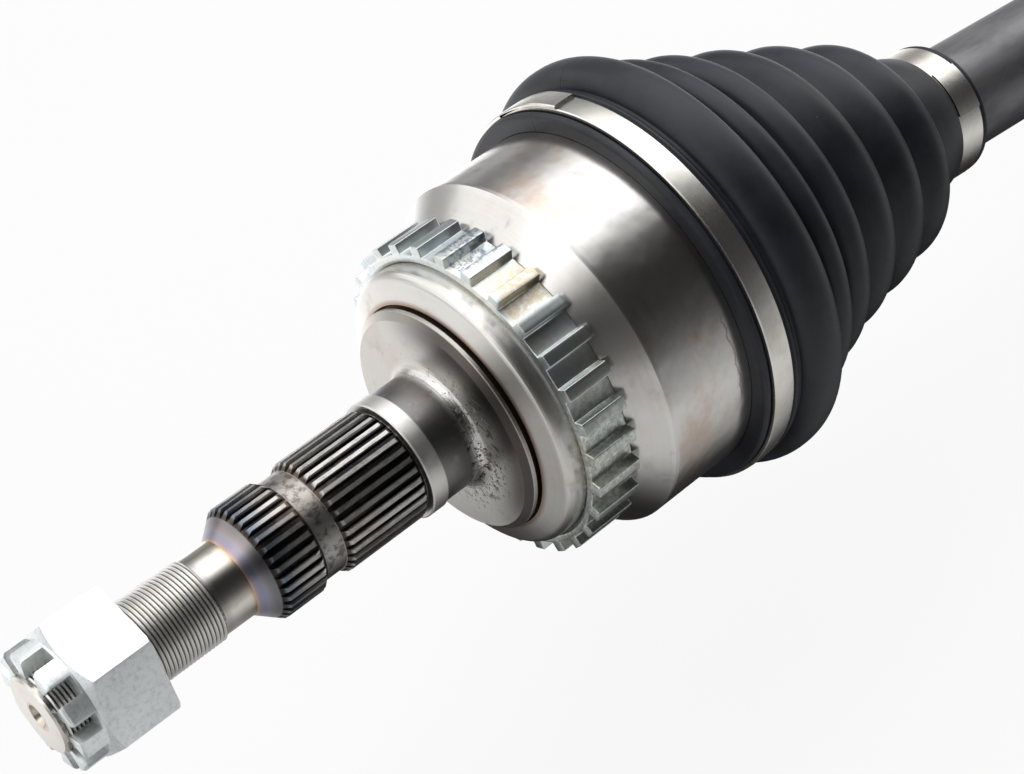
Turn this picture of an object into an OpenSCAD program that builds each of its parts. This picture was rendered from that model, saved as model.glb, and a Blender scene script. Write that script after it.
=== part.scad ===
// Front-wheel drive shaft: a fixed ball joint with its splined hub stub, a bar and a plunging
// tripod joint. The stub lies along X and its hub shoulder is the plane X = 0. +X runs inboard.

/* [Hub stub] */
// Thread core radius of the stub, M20 x 1
thread_core_r = 9.39; // [8:0.01:12]
// Length of the threaded end
thread_len = 42.4; // [36:0.1:50]
// Centre drilling radius in the stub's end
centre_r = 1.6; // [1:0.1:2.5]
// Neck radius behind the thread
neck_r = 9.4; // [8.5:0.1:11]
// Length of the neck
neck_len = 6.5; // [4:0.1:9]
// Length of the cone from the neck up to the spline
cone_len = 4; // [3:0.1:6]
// Tip radius of the hub spline's teeth
spline_r = 13.97; // [13.2:0.01:15]
// Depth of the hub spline's teeth
spline_depth = 1.25; // [0.8:0.01:1.6]
// Number of teeth on the hub spline
spline_teeth = 33; // [24:1:40]
// Length of the outer stretch of spline
spline_a_len = 12.5; // [9:0.1:16]
// Length of the plain groove between the two stretches
spline_gap_len = 5.3; // [3:0.1:8]
// Length of the inner stretch of spline
spline_b_len = 23.2; // [16:0.1:30]
// Radius of the pilot collar behind the spline
collar_r = 14.78; // [14.5:0.01:16]
// Length of the pilot collar
collar_len = 4.2; // [3:0.1:7]
// Radius of the seal seat
seat_r = 14.3; // [13.8:0.1:15.5]
// Length of the seal seat, fillet included
seat_len = 11.2; // [8:0.1:16]
// Fillet radius between the seal seat and the shoulder
seat_fillet_r = 2.6; // [1.5:0.1:3]

/* [Outer joint housing] */
// Outer radius of the flat hub shoulder
shoulder_r = 26.8; // [24:0.1:29]
// Thickness of the shoulder disc
shoulder_t = 3.9; // [3:0.1:6]
// Radius of the boss that the tone ring sits on
boss_r = 35.4; // [33:0.1:37]
// Rounding of the boss's front edge
boss_round_r = 2.4; // [1:0.1:3]
// Slope of the boss's front face, back from the shoulder
boss_slope_deg = 18; // [8:1:24]
// Free length of the boss in front of the tone ring
boss_front_len = 5.8; // [5:0.1:9]
// Length of the cone behind the tone ring
shoulder_cone_len = 7; // [5:0.1:10]
// Outer radius of the housing
bell_r = 44.4; // [43:0.1:48]
// Distance from the hub shoulder to the joint centre
joint_x = 51.7; // [49:0.1:58]
// Distance from the joint centre to the housing's mouth
mouth_len = 13.5; // [12:0.1:16]
// Depth of the boot groove round the housing
boot_groove_depth = 1.2; // [0.6:0.1:2]

/* [Tone ring] */
// Number of teeth
tone_teeth = 29; // [24:1:48]
// Tip radius of the teeth
tone_tip_r = 40.2; // [39:0.1:42]
// Root radius between the teeth
tone_root_r = 37.7; // [37:0.1:38.5]
// Axial width
tone_w = 12.2; // [8:0.1:14]
// Angle of a tooth's tip
tone_tip_deg = 4.2; // [3:0.1:6]
// Angle of a gap's floor
tone_floor_deg = 7.4; // [5:0.1:8]
// Chamfer at the front of the ring's bore, with which it is pressed on
tone_lead = 0.8; // [0.3:0.1:1.2]
// Turn of the ring on the boss
tone_turn = 7; // [0:0.1:15]

/* [Hub nut] */
// Width across the flats
nut_af = 30; // [28:0.1:34]
// Turn of the hexagon on the thread
nut_turn = 4.5; // [0:0.5:60]
// Length of the hexagon
nut_hex_len = 16; // [12:0.1:20]
// Radius of the slotted crown
crown_r = 14.5; // [13:0.1:14.9]
// Length of the slotted crown
crown_len = 6; // [4:0.1:8]
// Number of slots in the crown
crown_slots = 10; // [6:1:12]
// Width of a slot
crown_slot_w = 4.2; // [3:0.1:5]
// Turn of the slots against the hexagon
crown_turn = 5.6; // [0:0.1:36]
// Radial clearance of the nut's thread bore
thread_gap = 0.07; // [0.04:0.01:0.1]
// How far the stub stands proud of the crown
stub_proud = 1.1; // [0.5:0.1:4]

/* [Ball joint] */
// Bend of the shaft at this joint, as it lies
bend_deg = 8.15; // [0:0.05:15]
// Pitch radius of the balls
ball_pitch_r = 30; // [29.5:0.1:30.6]
// Radius of a ball
ball_r = 8.73; // [8:0.01:9]
// Axial offset of the track centres from the joint centre
track_offset = 4; // [3:0.1:4.5]
// Side room of a ball in its tracks
track_gap = 1.25; // [1.2:0.01:1.4]
// Outer radius of the cage's sphere
cage_r = 34.3; // [34:0.1:35]
// Wall of the cage
cage_wall = 6.7; // [6:0.1:7]
// Half the width of the cage
cage_half_w = 11.6; // [10.8:0.1:12.2]
// Half the length of a cage window, round the cage
window_half_len = 10.4; // [10:0.1:11]
// Running clearance between the cage, the races and the balls
cage_gap = 0.05; // [0.03:0.01:0.1]
// Half the width of the inner race
race_half_w = 12; // [11:0.1:13]
// Angle from the axis at which the inner race's tracks run out
race_track_deg = 45; // [43:1:46]

/* [Bar] */
// Radius of the bar
bar_r = 14.26; // [13.5:0.01:15.5]
// Radius of the bar's neck inside the outer joint
bar_neck_r = 12.3; // [11.5:0.1:13]
// Length of that neck from the joint centre
bar_neck_len = 62; // [55:1:70]
// Length of the cone from the neck to the full bar
bar_cone_len = 16; // [10:1:24]
// Tip radius of the splines on the bar's two ends
bar_spline_r = 12.2; // [11.6:0.1:12.3]
// Depth of the bar's spline teeth
bar_spline_depth = 1; // [0.6:0.1:1.2]
// Number of teeth on the bar's splines
bar_spline_teeth = 26; // [20:1:32]
// Distance between the two joint centres
bar_span = 330; // [280:1:420]
// Clearance between a splined bar end and its bore
fit_gap = 0.05; // [0.03:0.01:0.1]
// Width of the circlips on the bar
circlip_w = 1.6; // [1.2:0.1:2]

/* [Outer boot] */
// Thickness of the boot walls
boot_wall = 2; // [1.6:0.1:2.4]
// Distance of the boot's lip behind the joint centre
boot_lip_s = 0.4; // [0:0.1:1]
// Outer radius of the boot's seat under the large clamp
boot_land_r = 48.9; // [47.5:0.1:50]
// Where the large clamp starts, from the joint centre
large_clamp_s = 3.2; // [2.5:0.1:4]
// Width of the large clamp
large_clamp_w = 6; // [5:0.1:8]
// Thickness of a clamp's band
clamp_t = 0.9; // [0.6:0.1:1.2]
// Where the small clamp starts, from the joint centre
small_clamp_s = 109.8; // [106:0.1:113]
// Width of the small clamp
small_clamp_w = 8.2; // [7:0.1:9]
// Outer radius of the boot's seat under the small clamp
boot_neck_r = 16.7; // [16.2:0.1:17.5]
// Gap between a boot and the piece that it moves against
soft_gap = 0.15; // [0.1:0.01:0.3]

/* [Tripod joint] */
// Pitch radius of the rollers
roller_pitch_r = 22; // [21.5:0.1:22.6]
// Radius of a roller
roller_r = 16; // [15.6:0.1:16.2]
// Length of a roller along its trunnion
roller_len = 10; // [9:0.1:11]
// Radius of a trunnion
trunnion_r = 9.6; // [9:0.1:10]
// Radius of a needle
needle_r = 1.25; // [1.1:0.01:1.4]
// Number of needles round each trunnion
needle_count = 24; // [16:1:26]
// Radius of the spider's hub
spider_hub_r = 16.6; // [16:0.1:17]
// Half the width of the spider's hub
spider_half_w = 12; // [11:0.1:13]
// Side room of a roller in its track
roller_track_gap = 0.5; // [0.45:0.01:0.6]
// Outer radius of the tulip
tulip_r = 43.5; // [42.5:0.1:46]
// Distance from the spider's centre to the tulip's mouth
tulip_mouth_len = 30; // [28:0.5:34]
// Distance from the spider's centre to the tulip's floor
tulip_floor_len = 44; // [43:0.5:50]
// Radius of the space between the tracks
tulip_bore_r = 21.5; // [21:0.1:22]
// Radius of the flare at the tulip's mouth
tulip_flare_r = 27.6; // [27.4:0.1:28]
// Length of that flare, which gives the tilted bar room
tulip_flare_len = 20; // [19:0.5:20.5]
// Length of the round rim that carries the boot
tulip_rim_len = 18; // [15:0.5:22]
// Thickness of the tulip's floor
tulip_floor_t = 8; // [6:0.5:12]
// Length of the cone behind the floor
tulip_cone_len = 16; // [10:0.5:22]
// Radius of the journal that runs in the gearbox seal
journal_r = 17.5; // [16.5:0.1:19]
// Length of that journal
journal_len = 36; // [28:0.5:44]
// Tip radius of the gearbox spline
diff_spline_r = 13.6; // [13:0.1:14.5]
// Number of teeth on the gearbox spline
diff_spline_teeth = 27; // [22:1:32]
// Length of the gearbox spline
diff_spline_len = 42; // [34:0.5:50]

/* [Inner boot] */
// Outer radius of the boot's seat on the tulip
inner_land_r = 46.5; // [46:0.1:48]
// Where the small clamp ends, from the spider's centre
inner_small_s = 104; // [98:0.5:108]

/* [Hidden] */
circle_fn = 96;
overcut = 1;
balls = 6;
rollers = 3;
tooth_chamfer = 1.5;
core_sink = 0.1;
ring_land = 0.8;
lap_inset = 0.15;
shoulder_lip = 1.7;

// Stations along the hub stub, outboard of the shoulder
collar_x0 = -(seat_len + collar_len);
spline_b_x0 = collar_x0 - spline_b_len;
spline_a_x1 = spline_b_x0 - spline_gap_len;
spline_a_x0 = spline_a_x1 - spline_a_len;
cone_x0 = spline_a_x0 - cone_len;
neck_x0 = cone_x0 - neck_len;
stub_end_x = neck_x0 - thread_len - ring_land;
crown_x0 = stub_end_x + stub_proud;
nut_back_x = crown_x0 + crown_len + nut_hex_len;

// Stations of the outer housing, inboard of the shoulder
tone_x0 = shoulder_t + boss_front_len;
tone_x1 = tone_x0 + tone_w;
bell_x0 = tone_x1 + shoulder_cone_len;
mouth_x = joint_x + mouth_len;

// Ball joint
track_r = sqrt(ball_pitch_r * ball_pitch_r + track_offset * track_offset);
groove_r = ball_r + track_gap;
race_r = cage_r - cage_wall - cage_gap;
socket_r = cage_r + cage_gap;

// Stations along the bar, from the outer joint centre
bar_tip_s = -(race_half_w + circlip_w + 1.9);
clip_s0 = -(race_half_w + circlip_w + cage_gap);
bar_collar_s = race_half_w + fit_gap;
spider_face_s = bar_span - spider_half_w;
spider_clip_s = bar_span + spider_half_w + cage_gap;
bar_end_s = spider_clip_s + circlip_w + 1.9;
clip_groove_r = bar_spline_r - bar_spline_depth - 0.3;
clip_r = bar_spline_r + 1.1;

// Ridges of the outer boot behind the large first one: station from the joint centre, radius
outer_ridges = [[30.5, 46.8], [41, 42.8], [55, 38.4], [70.8, 34.3], [87, 29.8]];
// Valleys of the outer boot, one before each of those ridges and one after the last
outer_valleys = [[26.3, 43.6], [35.8, 38.6], [48, 33.6], [63, 29], [79, 24.8], [97, 20.8]];
// Outline of the large first convolution, as radius and station
first_fold = [[52.2, 12.6], [53.4, 16.2], [53.4, 19.4], [51.6, 23.2]];
// Stretch of the boot that takes the bend, from the joint centre
bend_s0 = 18;
bend_s1 = 96;
boot_fn = 40;
crest_r = 3.2;
boot_end_s = small_clamp_s + small_clamp_w + 2.6;

// Ridges and valleys of the inner boot, outboard of the spider's centre
inner_ridges = [[45, 42], [56.5, 36.5], [67.5, 31.2], [78, 26.6]];
inner_valleys = [[39.5, 36.5], [51, 31.5], [62.2, 26.6], [72.8, 22.6], [83.4, 20]];
inner_small_w = 7;
inner_crest_r = 2.4;
inner_small_r = 17.4;
inner_seat_t = 3;
inner_clamp_w = 7;
tulip_rim_r = inner_land_r - inner_seat_t;

// Tripod joint
race_ring_r = trunnion_r + 2 * needle_r + 2 * fit_gap;
roller_low = roller_pitch_r - roller_len / 2;
roller_high = roller_pitch_r + roller_len / 2;
trunnion_end = roller_high + 2.2;
retainer_t = 1.1;
tulip_back_s = tulip_floor_len + tulip_floor_t;
journal_s0 = tulip_back_s + tulip_cone_len;
journal_s1 = journal_s0 + journal_len;
diff_spline_s0 = journal_s1 + 4;
diff_spline_s1 = diff_spline_s0 + diff_spline_len;
diff_end_s = diff_spline_s1 + 9;
diff_groove_r = 11.4;

// Shared forms

// Lays a shape drawn on XY and raised along Z down along X: its X goes to Y, and its Y to Z.
module along_x() {
    rotate([0, 90, 0])
        rotate([0, 0, 90])
            children();
}

// A turned body round X, from an outline of [radius, station] points.
module turned(outline) {
    along_x()
        rotate_extrude($fn = circle_fn)
            polygon(outline);
}

// A round bar from one station to the next.
module rod(r, from, to) {
    translate([from, 0, 0])
        along_x()
            cylinder(r = r, h = to - from, $fn = circle_fn);
}

// A ring with a bore.
module ring(outer, inner, from, to) {
    turned([[inner, from], [outer, from], [outer, to], [inner, to]]);
}

// Points of an arc, for an outline: centre, radius, first and last angle, steps.
function arc(c, r, a0, a1, n) =
    [for (i = [0:n]) c + r * [cos(a0 + (a1 - a0) * i / n), sin(a0 + (a1 - a0) * i / n)]];

// Outline of a spline: flat-tipped teeth with straight flanks.
module spline_outline(tip, depth, teeth, grow = 0) {
    pitch = 360 / teeth;
    at_root = pitch * 0.35;
    at_tip = pitch * 0.17;
    polygon([
        for (i = [0:teeth - 1])
            for (p = [[-at_root, -depth], [-at_tip, 0], [at_tip, 0], [at_root, -depth]])
                (tip + p[1] + grow) * [cos(i * pitch + p[0]), sin(i * pitch + p[0])]
    ]);
}

// A stretch of spline with chamfered tooth ends.
module spline(tip, depth, teeth, from, to) {
    root = tip - depth;
    // The ends start just under the roots of the teeth, and just proud of the core
    rim = root - core_sink / 2;
    intersection() {
        translate([from, 0, 0])
            along_x()
                linear_extrude(to - from)
                    spline_outline(tip, depth, teeth);
        turned([
            [0, from],
            [rim, from],
            [tip + core_sink, from + tooth_chamfer + core_sink],
            [tip + core_sink, to - tooth_chamfer - core_sink],
            [rim, to],
            [0, to]
        ]);
    }
}

// Puts its children in the bar's frame: the outer joint centre, with +X along the bar.
module on_bar() {
    translate([joint_x, 0, 0])
        rotate([0, bend_deg, 0])
            children();
}

// Puts its children in the plane that halves the bend, at the outer joint centre.
module on_half_bend() {
    translate([joint_x, 0, 0])
        rotate([0, bend_deg / 2, 0])
            children();
}

// Puts its children in the tripod joint's frame, at the spider's centre.
module on_tripod() {
    on_bar()
        translate([bar_span, 0, 0])
            children();
}

// A ball-shaped space or body whose poles lie on X.
module ball_socket(r) {
    along_x()
        sphere(r = r, $fn = circle_fn);
}

// Path of a ball's track, as a bent round rod from one polar angle to another.
module ball_track(centre_x, r, from, to) {
    translate([centre_x, 0, 0])
        rotate([90, 0, 0])
            rotate([0, 0, from])
                rotate_extrude(angle = to - from, $fn = circle_fn)
                    translate([track_r, 0])
                        circle(r = r, $fn = circle_fn);
}

// A band clamp: a plain band and, over the given angle, the step where its end laps over it.
module band_clamp(inner, from, width, lap_turn, lap_deg) {
    ring(inner + clamp_t, inner, from, from + width);
    rotate([lap_turn, 0, 0])
        along_x()
            rotate_extrude(angle = lap_deg, $fn = circle_fn)
                translate([inner + clamp_t - core_sink, from + lap_inset])
                    square([clamp_t * 0.7 + core_sink, width - 2 * lap_inset]);
}

// A snap ring with a gap.
module snap_ring(outer, inner, from, to, gap_deg) {
    along_x()
        rotate([0, 0, gap_deg / 2])
            rotate_extrude(angle = 360 - gap_deg, $fn = circle_fn)
                translate([inner, from])
                    square([outer - inner, to - from]);
}

// Outer joint

// The stub and housing without splines, tracks or socket.
module housing_blank() {
    spline_core = spline_r - spline_depth - core_sink;
    rim_r = shoulder_r + shoulder_lip;
    face_r = rim_r + 0.3;
    face_x = shoulder_t - 0.5;
    turn_r = boss_r - boss_round_r;
    turn_face_r = turn_r + boss_round_r * sin(boss_slope_deg);
    turn_x = face_x + (turn_face_r - face_r) * tan(boss_slope_deg)
        + boss_round_r * cos(boss_slope_deg);
    groove_x0 = joint_x + large_clamp_s + 1;
    groove_x1 = groove_x0 + large_clamp_w - 2;
    turned(concat(
        [
            [0, stub_end_x],
            [thread_core_r - 0.5, stub_end_x],
            [thread_core_r, stub_end_x + 0.5],
            [thread_core_r, neck_x0],
            [neck_r, neck_x0],
            [neck_r, cone_x0],
            [spline_core + core_sink, spline_a_x0],
            [spline_core, spline_a_x0 + core_sink],
            [spline_core, collar_x0],
            [collar_r - 0.3, collar_x0],
            [collar_r, collar_x0 + 0.3],
            [collar_r, -seat_len],
            [seat_r, -seat_len]
        ],
        arc([seat_r + seat_fillet_r, -seat_fillet_r], seat_fillet_r, 180, 90, 6),
        [
            [shoulder_r, 0],
            [rim_r, 1.5],
            [rim_r, 2.3],
            [rim_r - 1.1, 2.8],
            [rim_r - 1.1, shoulder_t + 0.4],
            [rim_r - 0.3, shoulder_t + 0.4],
            [face_r, face_x]
        ],
        arc([turn_r, turn_x], boss_round_r, boss_slope_deg - 90, 0, 6),
        [
            [boss_r, tone_x1],
            [tone_root_r, tone_x1],
            [bell_r, bell_x0],
            [bell_r, groove_x0],
            [bell_r - boot_groove_depth, groove_x0],
            [bell_r - boot_groove_depth, groove_x1],
            [bell_r, groove_x1],
            [bell_r, mouth_x - 0.8],
            [bell_r - 0.8, mouth_x],
            [0, mouth_x]
        ]
    ));
}

module outer_race() {
    flare_len = 4;
    color("silver")
        difference() {
            union() {
                housing_blank();
                spline(spline_r, spline_depth, spline_teeth, spline_a_x0, spline_a_x1);
                spline(spline_r, spline_depth, spline_teeth, spline_b_x0, collar_x0);
            }
            translate([joint_x, 0, 0]) {
                ball_socket(socket_r);
                translate([mouth_len - flare_len, 0, 0])
                    along_x()
                        cylinder(r1 = socket_r - flare_len - 0.6, r2 = socket_r + 0.4,
                                 h = flare_len + overcut, $fn = circle_fn);
                for (i = [0:balls - 1])
                    rotate([i * 360 / balls, 0, 0])
                        ball_track(track_offset, groove_r, 45, 130);
            }
            turned([
                [0, stub_end_x - overcut],
                [centre_r + 1.4, stub_end_x - overcut],
                [centre_r + 1.4, stub_end_x],
                [centre_r, stub_end_x + 1.6],
                [centre_r, stub_end_x + 5],
                [0, stub_end_x + 6]
            ]);
        }
}

module hub_nut() {
    bore_r = thread_core_r + thread_gap;
    corner_r = nut_af / 2 / cos(30);
    hex_front_x = crown_x0 + crown_len;
    chamfer = (corner_r - crown_r) * tan(30);
    color("lightsteelblue")
        difference() {
            intersection() {
                union() {
                    translate([hex_front_x, 0, 0])
                        along_x()
                            rotate([0, 0, nut_turn])
                                cylinder(r = corner_r, h = nut_hex_len, $fn = 6);
                    rod(crown_r, crown_x0, hex_front_x + core_sink);
                }
                turned([
                    [0, crown_x0],
                    [crown_r - 0.6, crown_x0],
                    [crown_r, crown_x0 + 0.6],
                    [crown_r, hex_front_x],
                    [corner_r + overcut, hex_front_x + chamfer + overcut * tan(30)],
                    [corner_r + overcut, nut_back_x - 0.6 - overcut * tan(30)],
                    [corner_r - 0.6, nut_back_x],
                    [0, nut_back_x]
                ]);
            }
            rod(bore_r, crown_x0 - overcut, nut_back_x + overcut);
            for (i = [0:crown_slots - 1])
                rotate([nut_turn + crown_turn + i * 360 / crown_slots, 0, 0])
                    translate([crown_x0 - overcut, 0, -crown_slot_w / 2])
                        cube([crown_len - 0.5 + overcut, crown_r + overcut, crown_slot_w]);
        }
}

module abs_ring() {
    pitch = 360 / tone_teeth;
    gap_tip_deg = pitch - tone_tip_deg;
    far_r = tone_tip_r + overcut;
    color("lightgray")
        difference() {
            turned([
                [boss_r, tone_x0 + tone_lead],
                [boss_r + tone_lead, tone_x0],
                [tone_tip_r, tone_x0],
                [tone_tip_r, tone_x1],
                [boss_r, tone_x1]
            ]);
            for (i = [0:tone_teeth - 1])
                translate([tone_x0 - overcut, 0, 0])
                    rotate([tone_turn + i * pitch, 0, 0])
                        along_x()
                            linear_extrude(tone_w + 2 * overcut)
                                polygon([
                                    tone_root_r * [1, tan(tone_floor_deg / 2)],
                                    far_r * [1, tan(gap_tip_deg / 2)],
                                    far_r * [1, -tan(gap_tip_deg / 2)],
                                    tone_root_r * [1, -tan(tone_floor_deg / 2)]
                                ]);
        }
}

module inner_race() {
    color("gray")
        on_bar()
            difference() {
                intersection() {
                    ball_socket(race_r);
                    rod(race_r + overcut, -race_half_w, race_half_w);
                }
                for (i = [0:balls - 1])
                    rotate([i * 360 / balls, 0, 0])
                        ball_track(-track_offset, groove_r, race_track_deg, 130);
                translate([-race_half_w - overcut, 0, 0])
                    along_x()
                        linear_extrude(2 * race_half_w + 2 * overcut)
                            spline_outline(bar_spline_r, bar_spline_depth,
                                           bar_spline_teeth, fit_gap);
            }
}

module ball_cage() {
    half_hole = ball_r + cage_gap;
    color("dimgray")
        on_half_bend()
            difference() {
                intersection() {
                    ball_socket(cage_r);
                    rod(cage_r + overcut, -cage_half_w, cage_half_w);
                }
                ball_socket(cage_r - cage_wall);
                for (i = [0:balls - 1])
                    rotate([i * 360 / balls, 0, 0])
                        translate([-half_hole, -window_half_len, 0])
                            cube([2 * half_hole, 2 * window_half_len, cage_r + overcut]);
            }
}

// One ball, at the place where the two offset tracks cross at this bend.
module ball(index) {
    turn = (index - 1) * 360 / balls;
    shift = track_offset * sin(bend_deg / 2) * cos(turn);
    color("white")
        on_half_bend()
            rotate([turn, 0, 0])
                translate([0, 0, ball_pitch_r + shift])
                    sphere(r = ball_r, $fn = circle_fn);
}

module race_circlip() {
    color("dimgray")
        on_bar()
            snap_ring(clip_r, clip_groove_r + fit_gap, clip_s0, clip_s0 + circlip_w, 40);
}

// Bar

module axle_bar() {
    core = bar_spline_r - bar_spline_depth - core_sink;
    step_r = bar_spline_r + 1;
    spider_step_s = spider_face_s - fit_gap;
    color("dimgray")
        on_bar()
            union() {
                turned([
                    [0, bar_tip_s],
                    [core - 0.8, bar_tip_s],
                    [core, bar_tip_s + 0.8],
                    [core, clip_s0 - fit_gap],
                    [clip_groove_r, clip_s0 - fit_gap],
                    [clip_groove_r, clip_s0 + circlip_w + fit_gap],
                    [core, clip_s0 + circlip_w + fit_gap],
                    [core, bar_collar_s],
                    [step_r, bar_collar_s],
                    [step_r, bar_collar_s + 2.5],
                    [bar_neck_r, bar_collar_s + 4.5],
                    [bar_neck_r, bar_neck_len],
                    [bar_r, bar_neck_len + bar_cone_len],
                    [bar_r, bar_span - tulip_mouth_len - 54],
                    [bar_neck_r, bar_span - tulip_mouth_len - 40],
                    [bar_neck_r, spider_step_s - 4.5],
                    [step_r, spider_step_s - 2.5],
                    [step_r, spider_step_s],
                    [core, spider_step_s],
                    [core, spider_clip_s - fit_gap],
                    [clip_groove_r, spider_clip_s - fit_gap],
                    [clip_groove_r, spider_clip_s + circlip_w + fit_gap],
                    [core, spider_clip_s + circlip_w + fit_gap],
                    [core, bar_end_s - 0.8],
                    [core - 0.8, bar_end_s],
                    [0, bar_end_s]
                ]);
                spline(bar_spline_r, bar_spline_depth, bar_spline_teeth,
                       -race_half_w, bar_collar_s);
                spline(bar_spline_r, bar_spline_depth, bar_spline_teeth,
                       spider_step_s, bar_span + spider_half_w);
            }
}

// Boots and clamps

// Outline of one ridge of a bellows: valley, rounded crest, valley, and back inside the wall.
function ridge_outline(low, crest, high, lap) =
    let (
        c = [crest[1] - inner_crest_r, crest[0]],
        outside = concat(
            [[low[1], low[0] - lap], [low[1], low[0]]],
            arc(c, inner_crest_r, -55, 55, 5),
            [[high[1], high[0]], [high[1], high[0] + lap]]
        )
    )
    concat(outside, [for (i = [len(outside) - 1:-1:0]) outside[i] - [boot_wall, 0]]);

// Share of the bend that a station of the outer boot has taken.
function bend_share(s) =
    let (t = min(1, max(0, (s - bend_s0) / (bend_s1 - bend_s0))))
    t * t * (3 - 2 * t);

// A point of the bent boot: an outline point turned round the axis, then round the joint.
function bent_point(p, around) =
    let (
        bend = bend_deg * bend_share(p[1]),
        up = p[0] * sin(around)
    )
    [
        p[1] * cos(bend) + up * sin(bend),
        p[0] * cos(around),
        up * cos(bend) - p[1] * sin(bend)
    ];

// A closed ring outline carried round the bent axis.
module bent_sleeve(outline) {
    count = len(outline);
    polyhedron(
        points = [for (p = outline, k = [0:boot_fn - 1]) bent_point(p, k * 360 / boot_fn)],
        faces = [
            for (m = [0:count - 1], k = [0:boot_fn - 1])
                let (
                    m2 = (m + 1) % count * boot_fn,
                    k2 = (k + 1) % boot_fn,
                    a = m * boot_fn
                )
                each [[a + k, m2 + k, m2 + k2], [a + k, m2 + k2, a + k2]]
        ]
    );
}

module outer_boot() {
    land_s1 = large_clamp_s + large_clamp_w;
    groove_s0 = large_clamp_s + 1 + soft_gap;
    groove_s1 = land_s1 - 1 - soft_gap;
    seat_s1 = small_clamp_s + small_clamp_w + 0.3;
    // The sleeve has flat sides, so its corners stand off what its flats lie on
    seat = (bell_r + 0.02) / cos(180 / boot_fn);
    bead = (bell_r - boot_groove_depth + 0.02) / cos(180 / boot_fn);
    bar_seat = bar_r + soft_gap;
    wall = [boot_wall * 1.2, 0];
    last = len(outer_ridges);
    outside = concat(
        [
            [seat, boot_lip_s],
            [bell_r + 1.9, boot_lip_s],
            [boot_land_r, large_clamp_s - 0.2],
            [boot_land_r, land_s1],
            [boot_land_r + 1, land_s1 + 0.4]
        ],
        first_fold,
        [for (i = [0:last - 1]) each concat(
            [[outer_valleys[i][1], outer_valleys[i][0]]],
            arc([outer_ridges[i][1] - crest_r, outer_ridges[i][0]], crest_r, -60, 60, 3)
        )],
        [
            [outer_valleys[last][1], outer_valleys[last][0]],
            [20.2, 103],
            [18.3, small_clamp_s - 0.6],
            [boot_neck_r, small_clamp_s - 0.4],
            [boot_neck_r, seat_s1],
            [boot_neck_r + 0.9, seat_s1 + 0.4],
            [boot_neck_r + 0.7, boot_end_s]
        ]
    );
    inside = concat(
        [[bar_seat, boot_end_s], [bar_seat, small_clamp_s - 4], [18, 101]],
        [for (i = [last:-1:1]) each [
            [outer_valleys[i][1], outer_valleys[i][0]] - wall,
            [outer_ridges[i - 1][1], outer_ridges[i - 1][0]] - wall
        ]],
        [
            [outer_valleys[0][1], outer_valleys[0][0]] - wall,
            first_fold[3] - wall,
            first_fold[1] - wall,
            [bell_r + 2, mouth_len + 0.4],
            [seat, mouth_len + 0.3],
            [seat, groove_s1],
            [bead, groove_s1],
            [bead, groove_s0],
            [seat, groove_s0]
        ]
    );
    color("darkslategray")
        translate([joint_x, 0, 0])
            bent_sleeve(concat(outside, inside));
}

module outer_boot_clamp_large() {
    color("silver")
        translate([joint_x, 0, 0])
            band_clamp(boot_land_r, large_clamp_s, large_clamp_w, 62, 26);
}

module outer_boot_clamp_small() {
    color("silver")
        on_bar()
            band_clamp(boot_neck_r + soft_gap, small_clamp_s, small_clamp_w, 100, 40);
}

module inner_boot() {
    tulip_seat = tulip_rim_r + soft_gap;
    first = inner_valleys[0];
    last = inner_valleys[len(inner_valleys) - 1];
    seat_s0 = inner_small_s - inner_small_w;
    color("darkslategray")
        on_tripod()
            mirror([1, 0, 0]) {
                turned([
                    [tulip_seat, tulip_mouth_len - 13],
                    [inner_land_r + 0.8, tulip_mouth_len - 13],
                    [inner_land_r + 0.8, tulip_mouth_len - 11.4],
                    [inner_land_r, tulip_mouth_len - 11],
                    [inner_land_r, tulip_mouth_len - 2],
                    [inner_land_r + 0.6, tulip_mouth_len - 1.6],
                    [inner_land_r + 0.4, tulip_mouth_len + 2],
                    [inner_land_r - 2.5, tulip_mouth_len + 6.4],
                    [first[1], first[0]],
                    [first[1], first[0] + 1],
                    [first[1] - boot_wall, first[0] + 1],
                    [first[1] - boot_wall, first[0] - 0.9],
                    [inner_land_r - 4.5, tulip_mouth_len + 5.2],
                    [inner_land_r - 3.5, tulip_mouth_len + 1.2],
                    [tulip_seat, tulip_mouth_len + 0.3]
                ]);
                for (i = [0:len(inner_ridges) - 1])
                    turned(ridge_outline(inner_valleys[i], inner_ridges[i],
                                         inner_valleys[i + 1], 1));
                turned([
                    [last[1] - boot_wall, last[0] - 1],
                    [last[1], last[0] - 1],
                    [last[1], last[0]],
                    [19.4, seat_s0 - 2],
                    [18.6, seat_s0 - 0.6],
                    [inner_small_r, seat_s0 - 0.4],
                    [inner_small_r, inner_small_s + 0.3],
                    [inner_small_r + 0.8, inner_small_s + 0.7],
                    [inner_small_r + 0.8, inner_small_s + 2.8],
                    [bar_r, inner_small_s + 2.8],
                    [bar_r, seat_s0 - 3],
                    [17, 88]
                ]);
            }
}

module inner_boot_clamp_large() {
    color("silver")
        on_tripod()
            mirror([1, 0, 0])
                band_clamp(inner_land_r + soft_gap, tulip_mouth_len - inner_clamp_w - 3,
                           inner_clamp_w, 30, 26);
}

module inner_boot_clamp_small() {
    color("silver")
        on_tripod()
            mirror([1, 0, 0])
                band_clamp(inner_small_r, inner_small_s - inner_small_w, inner_small_w, 60, 40);
}

// Tripod joint

// Repeats its children on the three trunnions, drawn along +Y.
module on_trunnion(index) {
    rotate([index * 360 / rollers, 0, 0])
        rotate([-90, 0, 0])
            children();
}

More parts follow.
